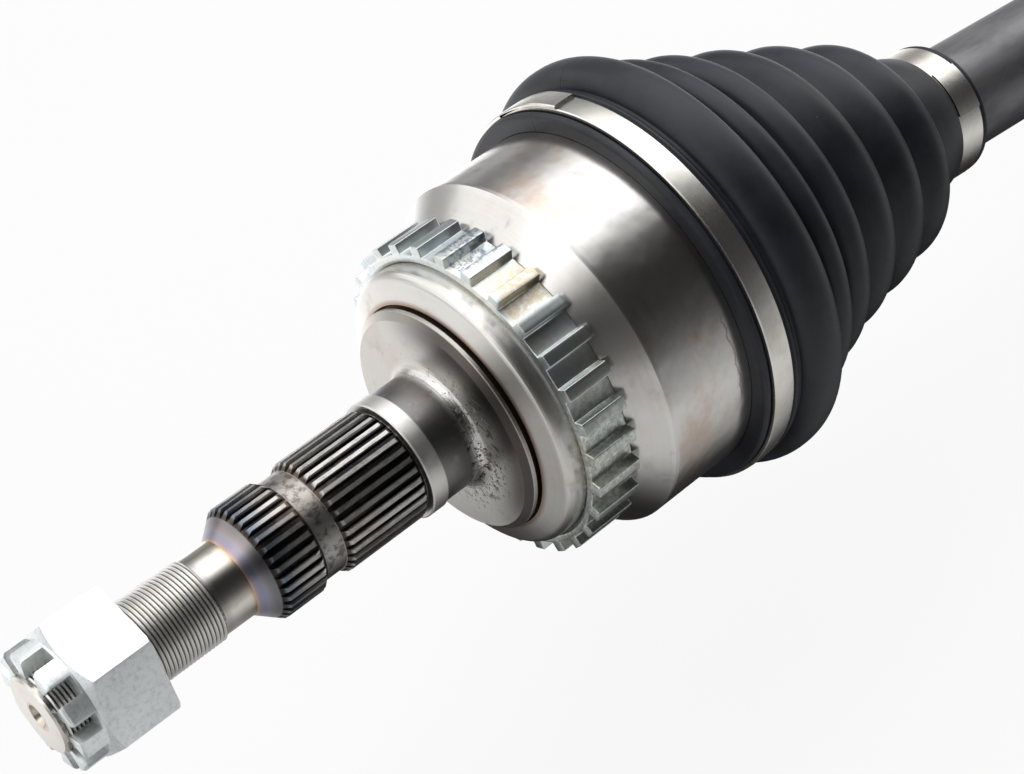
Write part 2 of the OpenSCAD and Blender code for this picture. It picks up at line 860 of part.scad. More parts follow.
module tulip() {
    spline_core = diff_spline_r - spline_depth - core_sink;
    track = roller_r + roller_track_gap;
    clip_s = diff_spline_s1 + 2;
    color("silver")
        on_tripod()
            difference() {
                union() {
                    turned([
                        [0, -tulip_mouth_len],
                        [tulip_rim_r - 1, -tulip_mouth_len],
                        [tulip_rim_r, -tulip_mouth_len + 1],
                        [tulip_rim_r, -tulip_mouth_len + tulip_rim_len - 1],
                        [tulip_r, -tulip_mouth_len + tulip_rim_len],
                        [tulip_r, tulip_back_s - 4],
                        [tulip_r - 4, tulip_back_s],
                        [24, journal_s0 - 3],
                        [journal_r + 2.5, journal_s0 - 2],
                        [journal_r + 2.5, journal_s0],
                        [journal_r, journal_s0],
                        [journal_r, journal_s1 - 1],
                        [journal_r - 1, journal_s1],
                        [spline_core + core_sink, diff_spline_s0],
                        [spline_core, diff_spline_s0 + core_sink],
                        [spline_core, clip_s],
                        [diff_groove_r, clip_s],
                        [diff_groove_r, clip_s + circlip_w + 2 * fit_gap],
                        [spline_core, clip_s + circlip_w + 2 * fit_gap],
                        [spline_core, diff_end_s - 1.5],
                        [spline_core - 1.5, diff_end_s],
                        [0, diff_end_s]
                    ]);
                    spline(diff_spline_r, spline_depth, diff_spline_teeth,
                           diff_spline_s0, diff_spline_s1);
                }
                for (i = [0:rollers - 1])
                    rotate([i * 360 / rollers, 0, 0]) {
                        translate([0, roller_pitch_r, 0])
                            rod(track, -tulip_mouth_len - overcut, tulip_floor_len);
                        rotate([60, 0, 0])
                            translate([0, tulip_r + 19.5, 0])
                                rod(30, -tulip_mouth_len + tulip_rim_len, tulip_back_s + overcut);
                    }
                rod(tulip_bore_r, -tulip_mouth_len - overcut, tulip_floor_len);
                turned([
                    [0, -tulip_mouth_len - overcut],
                    [tulip_flare_r, -tulip_mouth_len - overcut],
                    [tulip_bore_r, tulip_flare_len - tulip_mouth_len],
                    [0, tulip_flare_len - tulip_mouth_len]
                ]);
            }
}

module spider() {
    color("gray")
        on_tripod()
            difference() {
                union() {
                    turned([
                        [0, -spider_half_w],
                        [spider_hub_r - 2, -spider_half_w],
                        [spider_hub_r, -spider_half_w + 2],
                        [spider_hub_r, spider_half_w - 2],
                        [spider_hub_r - 2, spider_half_w],
                        [0, spider_half_w]
                    ]);
                    for (i = [0:rollers - 1])
                        on_trunnion(i)
                            rotate_extrude($fn = circle_fn)
                                polygon([
                                    [0, 0],
                                    [trunnion_r, 0],
                                    [trunnion_r, roller_high + 0.1],
                                    [trunnion_r - 0.8, roller_high + 0.1],
                                    [trunnion_r - 0.8, roller_high + 0.2 + retainer_t],
                                    [trunnion_r, roller_high + 0.2 + retainer_t],
                                    [trunnion_r - 0.5, trunnion_end],
                                    [0, trunnion_end]
                                ]);
                }
                translate([-spider_half_w - overcut, 0, 0])
                    along_x()
                        linear_extrude(2 * spider_half_w + 2 * overcut)
                            spline_outline(bar_spline_r, bar_spline_depth,
                                           bar_spline_teeth, fit_gap);
            }
}

// One roller ring: a spherical outside on a plain bore.
module roller(index) {
    edge_deg = asin(roller_len / 2 / roller_r);
    color("lightgray")
        on_tripod()
            on_trunnion(index - 1)
                rotate_extrude($fn = circle_fn)
                    polygon(concat(
                        [[race_ring_r, roller_low]],
                        arc([0, roller_pitch_r], roller_r, -edge_deg, edge_deg, 8),
                        [[race_ring_r, roller_high]]
                    ));
}

module needle_rollers() {
    ring_r = trunnion_r + needle_r + fit_gap;
    color("white")
        on_tripod()
            for (i = [0:rollers - 1])
                on_trunnion(i)
                    for (k = [0:needle_count - 1])
                        rotate([0, 0, k * 360 / needle_count])
                            translate([ring_r, 0, roller_low])
                                cylinder(r = needle_r, h = roller_len, $fn = circle_fn);
}

module roller_retainers() {
    color("dimgray")
        on_tripod()
            for (i = [0:rollers - 1])
                on_trunnion(i)
                    rotate([0, 0, 20])
                        rotate_extrude(angle = 330, $fn = circle_fn)
                            translate([trunnion_r - 0.75, roller_high + 0.15])
                                square([3.6, retainer_t]);
}

module spider_circlip() {
    color("dimgray")
        on_bar()
            snap_ring(clip_r, clip_groove_r + fit_gap,
                      spider_clip_s, spider_clip_s + circlip_w, 40);
}

module stub_circlip() {
    clip_s = diff_spline_s1 + 2 + fit_gap;
    color("dimgray")
        on_tripod()
            snap_ring(diff_spline_r + 0.2, diff_groove_r + fit_gap, clip_s, clip_s + circlip_w, 30);
}

outer_race();
hub_nut();
abs_ring();
inner_race();
ball_cage();
ball(1);  // ball_1
ball(2);  // ball_2
ball(3);  // ball_3
ball(4);  // ball_4
ball(5);  // ball_5
ball(6);  // ball_6
race_circlip();
axle_bar();
outer_boot();
outer_boot_clamp_large();
outer_boot_clamp_small();
tulip();
spider();
roller(1);  // roller_1
roller(2);  // roller_2
roller(3);  // roller_3
needle_rollers();
roller_retainers();
spider_circlip();
inner_boot();
inner_boot_clamp_large();
inner_boot_clamp_small();
stub_circlip();
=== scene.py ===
"""Looks of a front-wheel drive shaft: finishes, thread, boots, clamps, camera and studio.

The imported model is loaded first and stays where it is. Lengths in the sizes are millimetres.
"""

import logging
import math
from dataclasses import dataclass
from enum import Enum
from typing import Any, Callable

import bpy
from mathutils import Matrix, Vector


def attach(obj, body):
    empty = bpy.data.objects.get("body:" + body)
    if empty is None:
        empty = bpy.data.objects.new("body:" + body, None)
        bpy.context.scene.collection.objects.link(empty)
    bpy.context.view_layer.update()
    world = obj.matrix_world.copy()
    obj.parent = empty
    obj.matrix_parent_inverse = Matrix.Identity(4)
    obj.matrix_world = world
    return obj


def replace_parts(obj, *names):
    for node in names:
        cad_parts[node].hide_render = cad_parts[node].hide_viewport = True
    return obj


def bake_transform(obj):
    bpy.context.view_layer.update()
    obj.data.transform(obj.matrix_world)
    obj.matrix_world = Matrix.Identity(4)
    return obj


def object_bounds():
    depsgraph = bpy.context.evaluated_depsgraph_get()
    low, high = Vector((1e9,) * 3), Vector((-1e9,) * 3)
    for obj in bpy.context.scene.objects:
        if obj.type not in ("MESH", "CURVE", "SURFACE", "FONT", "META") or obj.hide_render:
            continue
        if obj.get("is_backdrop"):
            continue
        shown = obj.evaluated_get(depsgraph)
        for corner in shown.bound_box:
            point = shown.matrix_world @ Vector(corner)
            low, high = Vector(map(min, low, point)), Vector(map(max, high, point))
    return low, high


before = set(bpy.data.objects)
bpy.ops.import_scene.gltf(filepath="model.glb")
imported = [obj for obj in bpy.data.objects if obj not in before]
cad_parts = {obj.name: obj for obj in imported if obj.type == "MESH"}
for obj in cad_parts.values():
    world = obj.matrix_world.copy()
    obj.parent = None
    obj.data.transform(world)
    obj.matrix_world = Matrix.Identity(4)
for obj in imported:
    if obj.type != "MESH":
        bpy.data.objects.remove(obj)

LOG = logging.getLogger("drive_shaft")
MM = 0.001
Point = tuple[float, float]
Place = tuple[float, float, float]
Colour = tuple[float, float, float]
Stop = tuple[float, Colour]

# Where the outer joint's centre lies on the stub's line, and the bar's drop in degrees
JOINT_X = 51.7
BAR_DROP = 8.15


class Line(Enum):
    """The two straight axes of the shaft: a start in millimetres, and the drop in degrees."""

    STUB = (0.0, 0.0)
    BAR = (JOINT_X, BAR_DROP)

    @property
    def start(self) -> Vector:
        """Where the line starts, in metres."""
        return Vector((self.value[0] * MM, 0.0, 0.0))

    @property
    def along(self) -> Vector:
        """Unit direction of the line, inboard."""
        drop = math.radians(self.value[1])
        return Vector((math.cos(drop), 0.0, -math.sin(drop)))

    @property
    def up(self) -> Vector:
        """Unit direction square to the line, in its upright plane."""
        drop = math.radians(self.value[1])
        return Vector((math.sin(drop), 0.0, math.cos(drop)))

    def place(self, station: float, side: float = 0.0, rise: float = 0.0) -> Vector:
        """Point in metres, from millimetres along the line, towards +Y and up from it."""
        across = Vector((0.0, side * MM, 0.0))
        return self.start + self.along * station * MM + across + self.up * rise * MM


# Shader building


@dataclass(frozen=True)
class Sig:
    """A value socket that takes part in Python arithmetic."""

    tree: Any
    socket: Any

    def _math(self, operation: str, *values: Any) -> "Sig":
        """Adds one Math node and returns its result."""
        node = self.tree.nodes.new("ShaderNodeMath")
        node.operation = operation
        for slot, value in zip(node.inputs, values):
            feed(self.tree, slot, value)
        return Sig(self.tree, node.outputs[0])

    def __add__(self, other: Any) -> "Sig":
        """Sum."""
        return self._math("ADD", self, other)

    __radd__ = __add__

    def __sub__(self, other: Any) -> "Sig":
        """Difference."""
        return self._math("SUBTRACT", self, other)

    def __rsub__(self, other: Any) -> "Sig":
        """Difference with the socket second."""
        return self._math("SUBTRACT", other, self)

    def __mul__(self, other: Any) -> "Sig":
        """Product."""
        return self._math("MULTIPLY", self, other)

    __rmul__ = __mul__

    def __truediv__(self, other: Any) -> "Sig":
        """Quotient."""
        return self._math("DIVIDE", self, other)

    def __pow__(self, other: Any) -> "Sig":
        """Power."""
        return self._math("POWER", self, other)

    def at_least(self, other: Any) -> "Sig":
        """The larger of two values."""
        return self._math("MAXIMUM", self, other)

    def step(self, low: float, high: float) -> "Sig":
        """A smooth step from 0 at low to 1 at high."""
        node = self.tree.nodes.new("ShaderNodeMapRange")
        node.interpolation_type = "SMOOTHSTEP"
        feed(self.tree, node.inputs["Value"], self)
        node.inputs["From Min"].default_value = low
        node.inputs["From Max"].default_value = high
        return Sig(self.tree, node.outputs["Result"])

    def fall(self, low: float, high: float) -> "Sig":
        """A smooth step from 1 at low to 0 at high."""
        return 1 - self.step(low, high)

    def between(self, low: float, high: float, soft: float) -> "Sig":
        """A mask that is 1 from low to high and fades over soft on either side."""
        return self.step(low - soft, low) * self.fall(high, high + soft)


def feed(tree: Any, slot: Any, value: Any) -> None:
    """Sets or links one input.

    Args:
        tree: The node tree.
        slot: The input socket.
        value: A number, a colour, a socket or a Sig.
    """
    if isinstance(value, Sig):
        tree.links.new(value.socket, slot)
    elif isinstance(value, bpy.types.NodeSocket):
        tree.links.new(value, slot)
    elif slot.type == "RGBA" and len(value) == 3:
        slot.default_value = (*value, 1.0)
    else:
        slot.default_value = value


class Bench:
    """The node tree of one material, with the few nodes that the finishes use."""

    def __init__(self, name: str, line: Line) -> None:
        """Starts a material whose patterns run round a line."""
        self.material = bpy.data.materials.new(name)
        self.material.use_nodes = True
        self.tree = self.material.node_tree
        self.shader = self.tree.nodes["Principled BSDF"]
        self.line = line
        self.place = self.node("ShaderNodeTexCoord", {}, {}).outputs["Object"]
        self.spot: tuple[Sig, ...] = ()

    def node(self, kind: str, settings: dict[str, Any], inputs: dict[Any, Any]) -> Any:
        """Adds a node.

        Args:
            kind: The node's type.
            settings: Its settings, which are set first.
            inputs: Values or links of its sockets, by name or number.

        Returns:
            The new node.
        """
        made = self.tree.nodes.new(kind)
        for key, value in settings.items():
            if key == "stops":
                self.lay_stops(made.color_ramp, value)
            else:
                setattr(made, key, value)
        for key, value in inputs.items():
            feed(self.tree, made.inputs[key], value)
        return made

    @staticmethod
    def lay_stops(ramp: Any, stops: list[Stop]) -> None:
        """Sets a ramp's stops, each a position and a colour."""
        while len(ramp.elements) > 1:
            ramp.elements.remove(ramp.elements[-1])
        for number, (position, colour) in enumerate(stops):
            element = ramp.elements[0] if number == 0 else ramp.elements.new(position)
            element.position = position
            element.color = (*colour, 1.0)

    def sig(self, socket: Any) -> Sig:
        """Wraps a socket."""
        return Sig(self.tree, socket)

    def dot(self, vector: Any, other: Vector) -> Sig:
        """Length of a vector along a direction."""
        made = self.node("ShaderNodeVectorMath", {"operation": "DOT_PRODUCT"}, {0: vector})
        made.inputs[1].default_value = other
        return self.sig(made.outputs["Value"])

    def polar(self) -> tuple[Sig, Sig, Sig, Sig]:
        """Station, radius, side and rise of the surface on the material's line, in millimetres."""
        moved = self.node("ShaderNodeVectorMath", {"operation": "SUBTRACT"}, {0: self.place})
        moved.inputs[1].default_value = self.line.start
        rel = moved.outputs[0]
        station = self.dot(rel, self.line.along) * 1000
        rise = self.dot(rel, self.line.up) * 1000
        side = self.dot(rel, Vector((0, 1, 0))) * 1000
        radius = (side * side + rise * rise) ** 0.5
        self.spot = (station, side, rise)
        return station, radius, side, rise

    def vector(self, x: Any, y: Any, z: Any) -> Any:
        """Joins three values to one vector socket."""
        return self.node("ShaderNodeCombineXYZ", {}, {0: x, 1: y, 2: z}).outputs[0]

    def noise(self, vector: Any, scale: float, detail: float = 3.0, rough: float = 0.5) -> Sig:
        """Noise between 0 and 1 on a vector."""
        inputs = {"Vector": vector, "Scale": scale, "Detail": detail, "Roughness": rough}
        return self.sig(self.node("ShaderNodeTexNoise", {}, inputs).outputs["Fac"])

    def grain(
        self,
        scale: float,
        detail: float = 3.0,
        rough: float = 0.5,
        along: float = 1.0,
        around: float = 1.0,
    ) -> Sig:
        """Noise on the surface, squeezed along the axis and round it, after polar."""
        x, side, rise = self.spot
        where = self.vector(x * along, side * around, rise * around)
        return self.noise(where, scale, detail, rough)

    def ramp(self, value: Sig, stops: list[Stop]) -> Any:
        """A colour picked by a value from stops."""
        return self.node("ShaderNodeValToRGB", {"stops": stops}, {"Fac": value}).outputs["Color"]

    def mix(self, first: Any, second: Any, share: Any) -> Any:
        """A colour between two, at a share of the second."""
        inputs = {0: share, 6: first, 7: second}
        return self.node("ShaderNodeMix", {"data_type": "RGBA"}, inputs).outputs[2]

    def coats(self, colour: Any, *layers: tuple[Any, Any]) -> Any:
        """Lays colours one over another, each at its share."""
        for tone, share in layers:
            colour = self.mix(colour, tone, share)
        return colour

    def bands(self, value: Sig, stops: list[Stop]) -> Any:
        """A colour by station, from stops whose places are in millimetres."""
        low, high = stops[0][0], stops[-1][0]
        span = high - low
        return self.ramp((value - low) / span, [((s - low) / span, c) for s, c in stops])

    def dress(self, base: Any, roughness: Any, metallic: float = 1.0) -> None:
        """Sets the shader's colour and roughness, and one metallic value for the whole surface."""
        feed(self.tree, self.shader.inputs["Base Color"], base)
        feed(self.tree, self.shader.inputs["Roughness"], roughness)
        self.shader.inputs["Metallic"].default_value = metallic

    def relief(self, height: Sig) -> None:
        """Raises the surface by a height in millimetres."""
        made = self.node("ShaderNodeBump", {}, {"Height": height, "Strength": 1.0})
        made.inputs["Distance"].default_value = MM
        feed(self.tree, self.shader.inputs["Normal"], made.outputs[0])

    def ray_line(self, side: Sig, rise: Sig, angle: float, width: float) -> Sig:
        """A mask on the line at an angle in degrees from +Y towards +Z, and its half width."""
        a = math.radians(angle)
        off = side * math.sin(a) - rise * math.cos(a)
        ahead = side * math.cos(a) + rise * math.sin(a)
        return off.between(-width, width, width) * ahead.step(0.0, 1.0)


# Finishes

# Plain tones along the stub and housing: station in millimetres and colour. The pale line at 28.9
# mm, on the edge between cone and bell, is a painted highlight.
STUB_BANDS = [
    (-111.0, (0.5, 0.47, 0.43)), (-67.2, (0.5, 0.49, 0.47)), (-66.5, (0.66, 0.63, 0.585)),
    (-61.4, (0.66, 0.63, 0.58)), (-60.8, (0.64, 0.5, 0.32)), (-60.3, (0.46, 0.3, 0.24)),
    (-59.7, (0.26, 0.24, 0.33)), (-59.0, (0.22, 0.26, 0.36)), (-58.3, (0.27, 0.25, 0.27)),
    (-57.4, (0.17, 0.175, 0.195)), (-56.2, (0.16, 0.16, 0.17)), (-54.5, (0.3, 0.3, 0.3)),
    (-44.2, (0.28, 0.275, 0.27)), (-43.6, (0.4, 0.39, 0.37)), (-38.9, (0.4, 0.39, 0.37)),
    (-38.2, (0.3, 0.295, 0.29)), (-15.8, (0.34, 0.335, 0.33)), (-15.3, (0.74, 0.73, 0.7)),
    (-11.4, (0.7, 0.69, 0.66)), (-10.9, (0.2, 0.198, 0.198)), (-3.6, (0.17, 0.165, 0.16)),
    (-2.4, (0.56, 0.55, 0.53)), (-0.6, (0.62, 0.605, 0.58)), (0.3, (0.52, 0.5, 0.47)),
    (1.4, (0.5, 0.475, 0.445)), (2.2, (0.42, 0.39, 0.36)), (9.5, (0.42, 0.39, 0.36)),
    # painted highlight: the pale line at 28.9 mm on the edge between cone and bell
    (22.0, (0.6, 0.585, 0.56)), (28.6, (0.63, 0.615, 0.595)), (28.9, (0.8, 0.79, 0.77)),
    (29.4, (0.62, 0.61, 0.59)), (66.0, (0.62, 0.605, 0.58)),
]

# Stretches with a roughness of their own: start, end and fade in millimetres, and the change
STUB_ROUGHNESS = (
    (3.2, 9.6, 0.3, 0.05),
    (-15.3, -11.3, 0.2, 0.16),
    (-0.6, 1.6, 0.3, 0.1),
    (-67.0, -61.2, 0.5, -0.06),
    (-60.2, -56.4, 0.4, 0.04),
)


@dataclass(frozen=True)
class TurnedHousing:
    """Turned and ground steel of the stub and the housing, banded along the axis."""

    name: str = "turned_housing"
    groove_x: Point = (2.5, 5.0)
    groove_rim: Point = (28.25, 28.5)
    spline_a: Point = (-56.2, -44.1)
    spline_b: Point = (-38.4, -15.6)
    seat: Point = (-10.9, -2.7)
    # Direction in degrees of the painted dark reflection on the disc
    undercut: Point = (-43.7, -38.8)
    painted_dark_reflection_at: float = 136.0

    def groove(self, x: Sig, r: Sig) -> Sig:
        """A mask on the rusty groove behind the housing's rim."""
        return x.between(*self.groove_x, 0.3) * r.fall(*self.groove_rim)

    def bands(self, b: Bench, x: Sig, r: Sig) -> Any:
        """Picks the plain tone of each turned surface, by station and radius in millimetres."""
        boss = x.between(2.9, 21.0, 0.1) * r.step(28.3, 28.6)
        end = x.fall(-109.9, -109.2)
        return b.coats(
            b.bands(x, STUB_BANDS),
            # The groove behind the rim is rusty, and the boss outside it bright
            ((0.13, 0.095, 0.07), self.groove(x, r)),
            ((0.64, 0.625, 0.595), boss),
            ((0.3, 0.2, 0.14), boss * r.fall(28.9, 30.2) * 0.85),
            # The end of the stub: centre drilling and its countersink, with painted shade inside
            # the drilling
            ((0.66, 0.63, 0.58), end),
            ((0.55, 0.47, 0.37), end * r.fall(3.3, 3.9)),
            # painted shade inside the centre drilling
            ((0.09, 0.055, 0.04), x.fall(-107.5, -106.0) * r.fall(1.55, 1.7)),
        )

    def build(self) -> bpy.types.Material:
        """Makes the material."""
        b = Bench(self.name, Line.STUB)
        x, r, side, rise = b.polar()
        # Splines: black roots and flanks, painted shade between the teeth; worn grey crests, blued
        # at the nut's end
        on_spline = x.between(*self.spline_a, 0.3).at_least(x.between(*self.spline_b, 0.2))
        crest = r.step(13.2, 13.8)
        fleck = b.grain(1.0, 5.0, 0.65, 0.35, 1.2)
        blued = x.fall(-56.0, -47.0)
        worn = b.mix((0.5, 0.49, 0.47), (0.16, 0.19, 0.24), blued)
        worn = b.mix(worn, (0.14, 0.14, 0.14), fleck.step(0.45, 0.65) * 0.5)
        # the near-black roots and flanks are painted shade
        teeth = b.mix((0.022, 0.022, 0.023), worn, crest)
        # Greasy haze and fine turning marks, rings on the discs
        smudge = b.grain(0.09, 5.0, 0.62, 0.7, 0.6)
        bell = x.step(29.0, 30.0)
        haze = b.grain(0.16, 4.0, 0.6, along=0.8)
        marks = b.noise(b.vector((x + r) * 4.6, side * 0.02, rise * 0.02), 1.0, 4.0, 0.7)
        # Scale on the seat and the undercut, black pits and blotches by the fillet
        seat = x.between(*self.seat, 0.3)
        undercut = x.between(*self.undercut, 0.3)
        scale = b.grain(0.42, 5.0, 0.68)
        pits = b.grain(0.95, 6.0, 0.7, 0.9, 0.8)
        lower = side.fall(-16.0, 10.0)
        near = x.between(-3.8, 1.2, 0.6) * (1 - r.step(18.0, 25.5) * 0.85) * (0.3 + lower * 0.7)
        pit = (pits + near * 0.06).step(0.62, 0.66) * near
        blotch = (scale + near * 0.05).step(0.56, 0.66) * near * lower
        # Painted dark reflection on the disc, towards its rim on the lower side, standing in for
        # the dark room that a curved rim mirrors
        painted_dark_reflection_at = math.radians(self.painted_dark_reflection_at)
        toward = (rise * math.sin(painted_dark_reflection_at) + side * math.cos(painted_dark_reflection_at)) / r
        painted_dark_reflection = x.between(-0.5, 4.6, 0.2) * toward.step(-0.1, 0.75) * r.step(15.5, 26.0)
        painted_dark_reflection = painted_dark_reflection * r.fall(28.2, 28.5)
        # A thin rust line on the bell, beside the boot
        wander = (b.noise(b.vector(0.0, side, rise), 0.35, 3.0, 0.6) - 0.5) * 2.4
        streak = (x - wander).between(49.6, 49.8, 0.25) * rise.between(8.0, 24.0, 4.0)
        streak = streak * side.fall(-36.0, -30.0)
        colour = b.coats(
            self.bands(b, x, r),
            (teeth, on_spline),
            ((0.5, 0.365, 0.28), smudge.step(0.46, 0.68) * (0.2 + bell * 0.45)),
            ((0.3, 0.285, 0.275), haze.step(0.56, 0.8) * 0.5),
            ((0.25, 0.24, 0.23), marks.step(0.5, 0.8) * 0.22),
            ((0.34, 0.33, 0.32), seat * scale.step(0.55, 0.72) * 0.5),
            ((0.07, 0.07, 0.072), undercut * scale.step(0.45, 0.62) * 0.75),
            ((0.02, 0.018, 0.018), pit * 0.9),
            ((0.07, 0.062, 0.058), blotch * 0.75),
            # painted dark reflection on the disc
            ((0.045, 0.036, 0.032), painted_dark_reflection * 0.92),
            ((0.3, 0.17, 0.1), streak * 0.6),
        )
        rough = 0.2 + bell * -0.03 + on_spline * 0.12 + seat * 0.1 + undercut * 0.12
        rough = rough + self.groove(x, r) * 0.25 + smudge * 0.06 + haze * 0.05 + pit * 0.3
        for low, high, soft, change in STUB_ROUGHNESS:
            rough = rough + x.between(low, high, soft) * change
        b.dress(colour, rough)
        wave = b.grain(0.085, 2.0, 0.45, along=1.1)
        fine = b.grain(1.9, 3.0, 0.6)
        b.relief(
            wave * (0.08 + bell * 0.2)
            + marks * 0.002
            + fine * (0.0015 + on_spline * 0.02 + seat * 0.006 + undercut * 0.03)
            - pit * 0.05
            - blotch * 0.02
        )
        return b.material


@dataclass(frozen=True)
class ThreadSteel:
    """Bright cut thread, darker in its roots."""

    name: str = "thread_steel"
    root_r: float = 9.4
    crest_r: float = 9.68

    def build(self) -> bpy.types.Material:
        """Makes the material."""
        b = Bench(self.name, Line.STUB)
        r = b.polar()[1]
        crest = r.step(self.root_r, self.crest_r)
        patch = b.grain(1.0, 4.0, 0.5, 0.2, 0.2)
        # the roots are darker than the crests
        colour = b.mix((0.16, 0.155, 0.15), (0.78, 0.765, 0.735), crest)
        colour = b.mix(colour, (0.46, 0.42, 0.37), patch.step(0.5, 0.75) * 0.4)
        b.dress(colour, 0.29 + patch * 0.12)
        b.relief(patch * 0.01)
        return b.material


@dataclass(frozen=True)
class Zinc:
    """Zinc plate: cool, finely mottled, with passivation tints where they are asked for."""

    name: str
    tone: Colour
    tint: float
    speck: float
    metallic: float
    yellow_by: float = 0.0
    yellow_at: float = 100.5
    blue_at: float = 79.0
    olive_at: float = 183.0

    def build(self) -> bpy.types.Material:
        """Makes the material."""
        b = Bench(self.name, Line.STUB)
        x, r, side, rise = b.polar()
        mottle = b.grain(0.9, 5.0, 0.65)
        cloud = b.grain(0.075, 3.0)
        speck = b.grain(2.1, 4.0, 0.6)
        colour = b.mix(self.tone, tuple(c * 0.78 for c in self.tone), mottle.step(0.42, 0.75))
        passive = b.ramp(
            cloud,
            [
                (0.3, (0.36, 0.4, 0.6)),
                (0.4, self.tone),
                (0.52, self.tone),
                (0.6, (0.74, 0.62, 0.42)),
                (0.68, (0.66, 0.6, 0.44)),
                (0.76, (0.5, 0.48, 0.62)),
            ],
        )
        colour = b.mix(colour, passive, self.tint)
        if self.yellow_by:
            # Yellow and blue passivation on the upper teeth, olive stain on the lower ones
            # Painted dark reflection: the tips of the teeth darkened
            painted_dark_tips = r.step(37.9, 38.4)
            colour = b.mix(colour, tuple(c * 0.52 for c in self.tone), painted_dark_tips * 0.3)
            teeth = r.step(37.0, 37.6) * x.step(10.7, 11.2)
            top = b.ray_line(side, rise, self.yellow_at, 3.6) * teeth * self.yellow_by
            colour = b.mix(colour, (0.58, 0.475, 0.33), top * mottle.step(0.34, 0.56))
            blue = b.ray_line(side, rise, self.blue_at, 4.0) * teeth
            colour = b.mix(colour, (0.13, 0.16, 0.24), blue * mottle.step(0.46, 0.6) * 0.7)
            low = b.ray_line(side, rise, self.olive_at, 16.0) * mottle.step(0.38, 0.6)
            colour = b.mix(colour, (0.34, 0.35, 0.27), low * 0.7)
        dirt = speck.step(0.64, 0.7) * self.speck
        colour = b.mix(colour, (0.12, 0.125, 0.125), dirt)
        b.dress(colour, 0.25 + mottle * 0.14 + dirt * 0.3, self.metallic)
        b.relief(mottle * 0.012 + speck * 0.008)
        return b.material


@dataclass(frozen=True)
class BootRubber:
    """Satin moulded rubber, blue-black, with a paler bloom and a few specks of dust."""

    name: str
    line: Line
    tone: Colour = (0.0085, 0.0095, 0.0135)
    bloom: Colour = (0.03, 0.0325, 0.042)
    seam_at: float = 0.0
    seam_to: float = 0.0
    shine: float = 0.36

    def build(self) -> bpy.types.Material:
        """Makes the material."""
        b = Bench(self.name, self.line)
        x, _, side, rise = b.polar()
        haze = b.grain(0.05, 4.0, 0.6)
        grain = b.grain(2.6, 3.0, 0.6)
        scuff = b.grain(0.8, 5.0, 0.7, 0.25, 0.7)
        dust = b.grain(1.15, 2.0, 0.5)
        colour = b.mix(self.tone, self.bloom, haze.step(0.3, 0.65) * 0.8)
        colour = b.mix(colour, (0.06, 0.065, 0.07), scuff.step(0.66, 0.8) * 0.3)
        colour = b.mix(colour, (0.3, 0.3, 0.3), dust.step(0.79, 0.81) * 0.6)
        height = grain * 0.012 + haze * 0.05
        if self.seam_at:
            before = x.fall(self.seam_to, self.seam_to + 1)
            seam = b.ray_line(side, rise, self.seam_at, 0.1) * before
            colour = b.mix(colour, (0.002, 0.002, 0.003), seam * 0.8)
            height = height - seam * 0.12
        b.dress(colour, 0.35 + haze * 0.12 + scuff * 0.08, 0.0)
        b.shader.inputs["Specular IOR Level"].default_value = self.shine
        b.relief(height)
        return b.material


@dataclass(frozen=True)
class BandSteel:
    """Rolled stainless band, polished, with faint lines round it and a thin oily haze."""

    name: str
    line: Line
    tone: Colour = (0.74, 0.72, 0.675)

    def build(self) -> bpy.types.Material:
        """Makes the material."""
        b = Bench(self.name, self.line)
        b.polar()
        lines = b.grain(1.0, 3.0, 0.7, 5.0, 0.05)
        cloud = b.grain(1.0, 4.0, 0.6, 0.1, 0.08)
        colour = b.mix(self.tone, (0.5, 0.43, 0.35), cloud.step(0.45, 0.75) * 0.5)
        colour = b.mix(colour, (0.3, 0.29, 0.27), lines.step(0.58, 0.85) * 0.25)
        b.dress(colour, 0.19 + lines * 0.06 + cloud * 0.08)
        wave = b.grain(0.1, 2.0, 0.5)
        b.relief(lines * 0.002 + wave * 0.12)
        return b.material


@dataclass(frozen=True)
class BarSteel:
    """Dark satin bar with fine lengthwise scratches."""

    name: str = "bar_steel"

    def build(self) -> bpy.types.Material:
        """Makes the material."""
        b = Bench(self.name, Line.BAR)
        b.polar()
        haze = b.grain(1.4, 5.0, 0.6, 0.03, 0.1)
        scratch = b.grain(1.2, 4.0, 0.75, 0.05, 1.6)
        grain = b.grain(2.4, 4.0, 0.7)
        colour = b.mix((0.21, 0.21, 0.217), (0.13, 0.13, 0.138), haze.step(0.35, 0.7))
        colour = b.mix(colour, (0.3, 0.3, 0.31), scratch.step(0.62, 0.8) * 0.4)
        b.dress(colour, 0.42 + haze * 0.1 + grain * 0.06)
        b.relief(grain * 0.015 + scratch * 0.01)
        return b.material


@dataclass(frozen=True)
class GroundSteel:
    """Ground and greased steel of the inner parts and of the inboard housing."""

    name: str
    line: Line
    tone: Colour
    roughness: float
    spline_from: float = 0.0
    spline_to: float = 0.0
    crest_r: float = 0.0

    def build(self) -> bpy.types.Material:
        """Makes the material."""
        b = Bench(self.name, self.line)
        x, r, _, _ = b.polar()
        marks = b.grain(1.0, 4.0, 0.7, 4.0, 0.04)
        cloud = b.grain(0.06, 4.0, 0.6)
        colour = b.mix(self.tone, tuple(c * 0.62 for c in self.tone), marks.step(0.5, 0.8) * 0.5)
        colour = b.mix(colour, (0.36, 0.28, 0.2), cloud.step(0.52, 0.8) * 0.35)
        rough = self.roughness + cloud * 0.1 + marks * 0.06
        if self.crest_r:
            mask = x.between(self.spline_from, self.spline_to, 0.4)
            crest = r.step(self.crest_r - 0.5, self.crest_r - 0.05)
            colour = b.mix(colour, b.mix((0.04, 0.038, 0.036), self.tone, crest), mask)
            rough = rough + mask * 0.1
        b.dress(colour, rough)
        b.relief(marks * 0.004)
        return b.material


# Mesh building


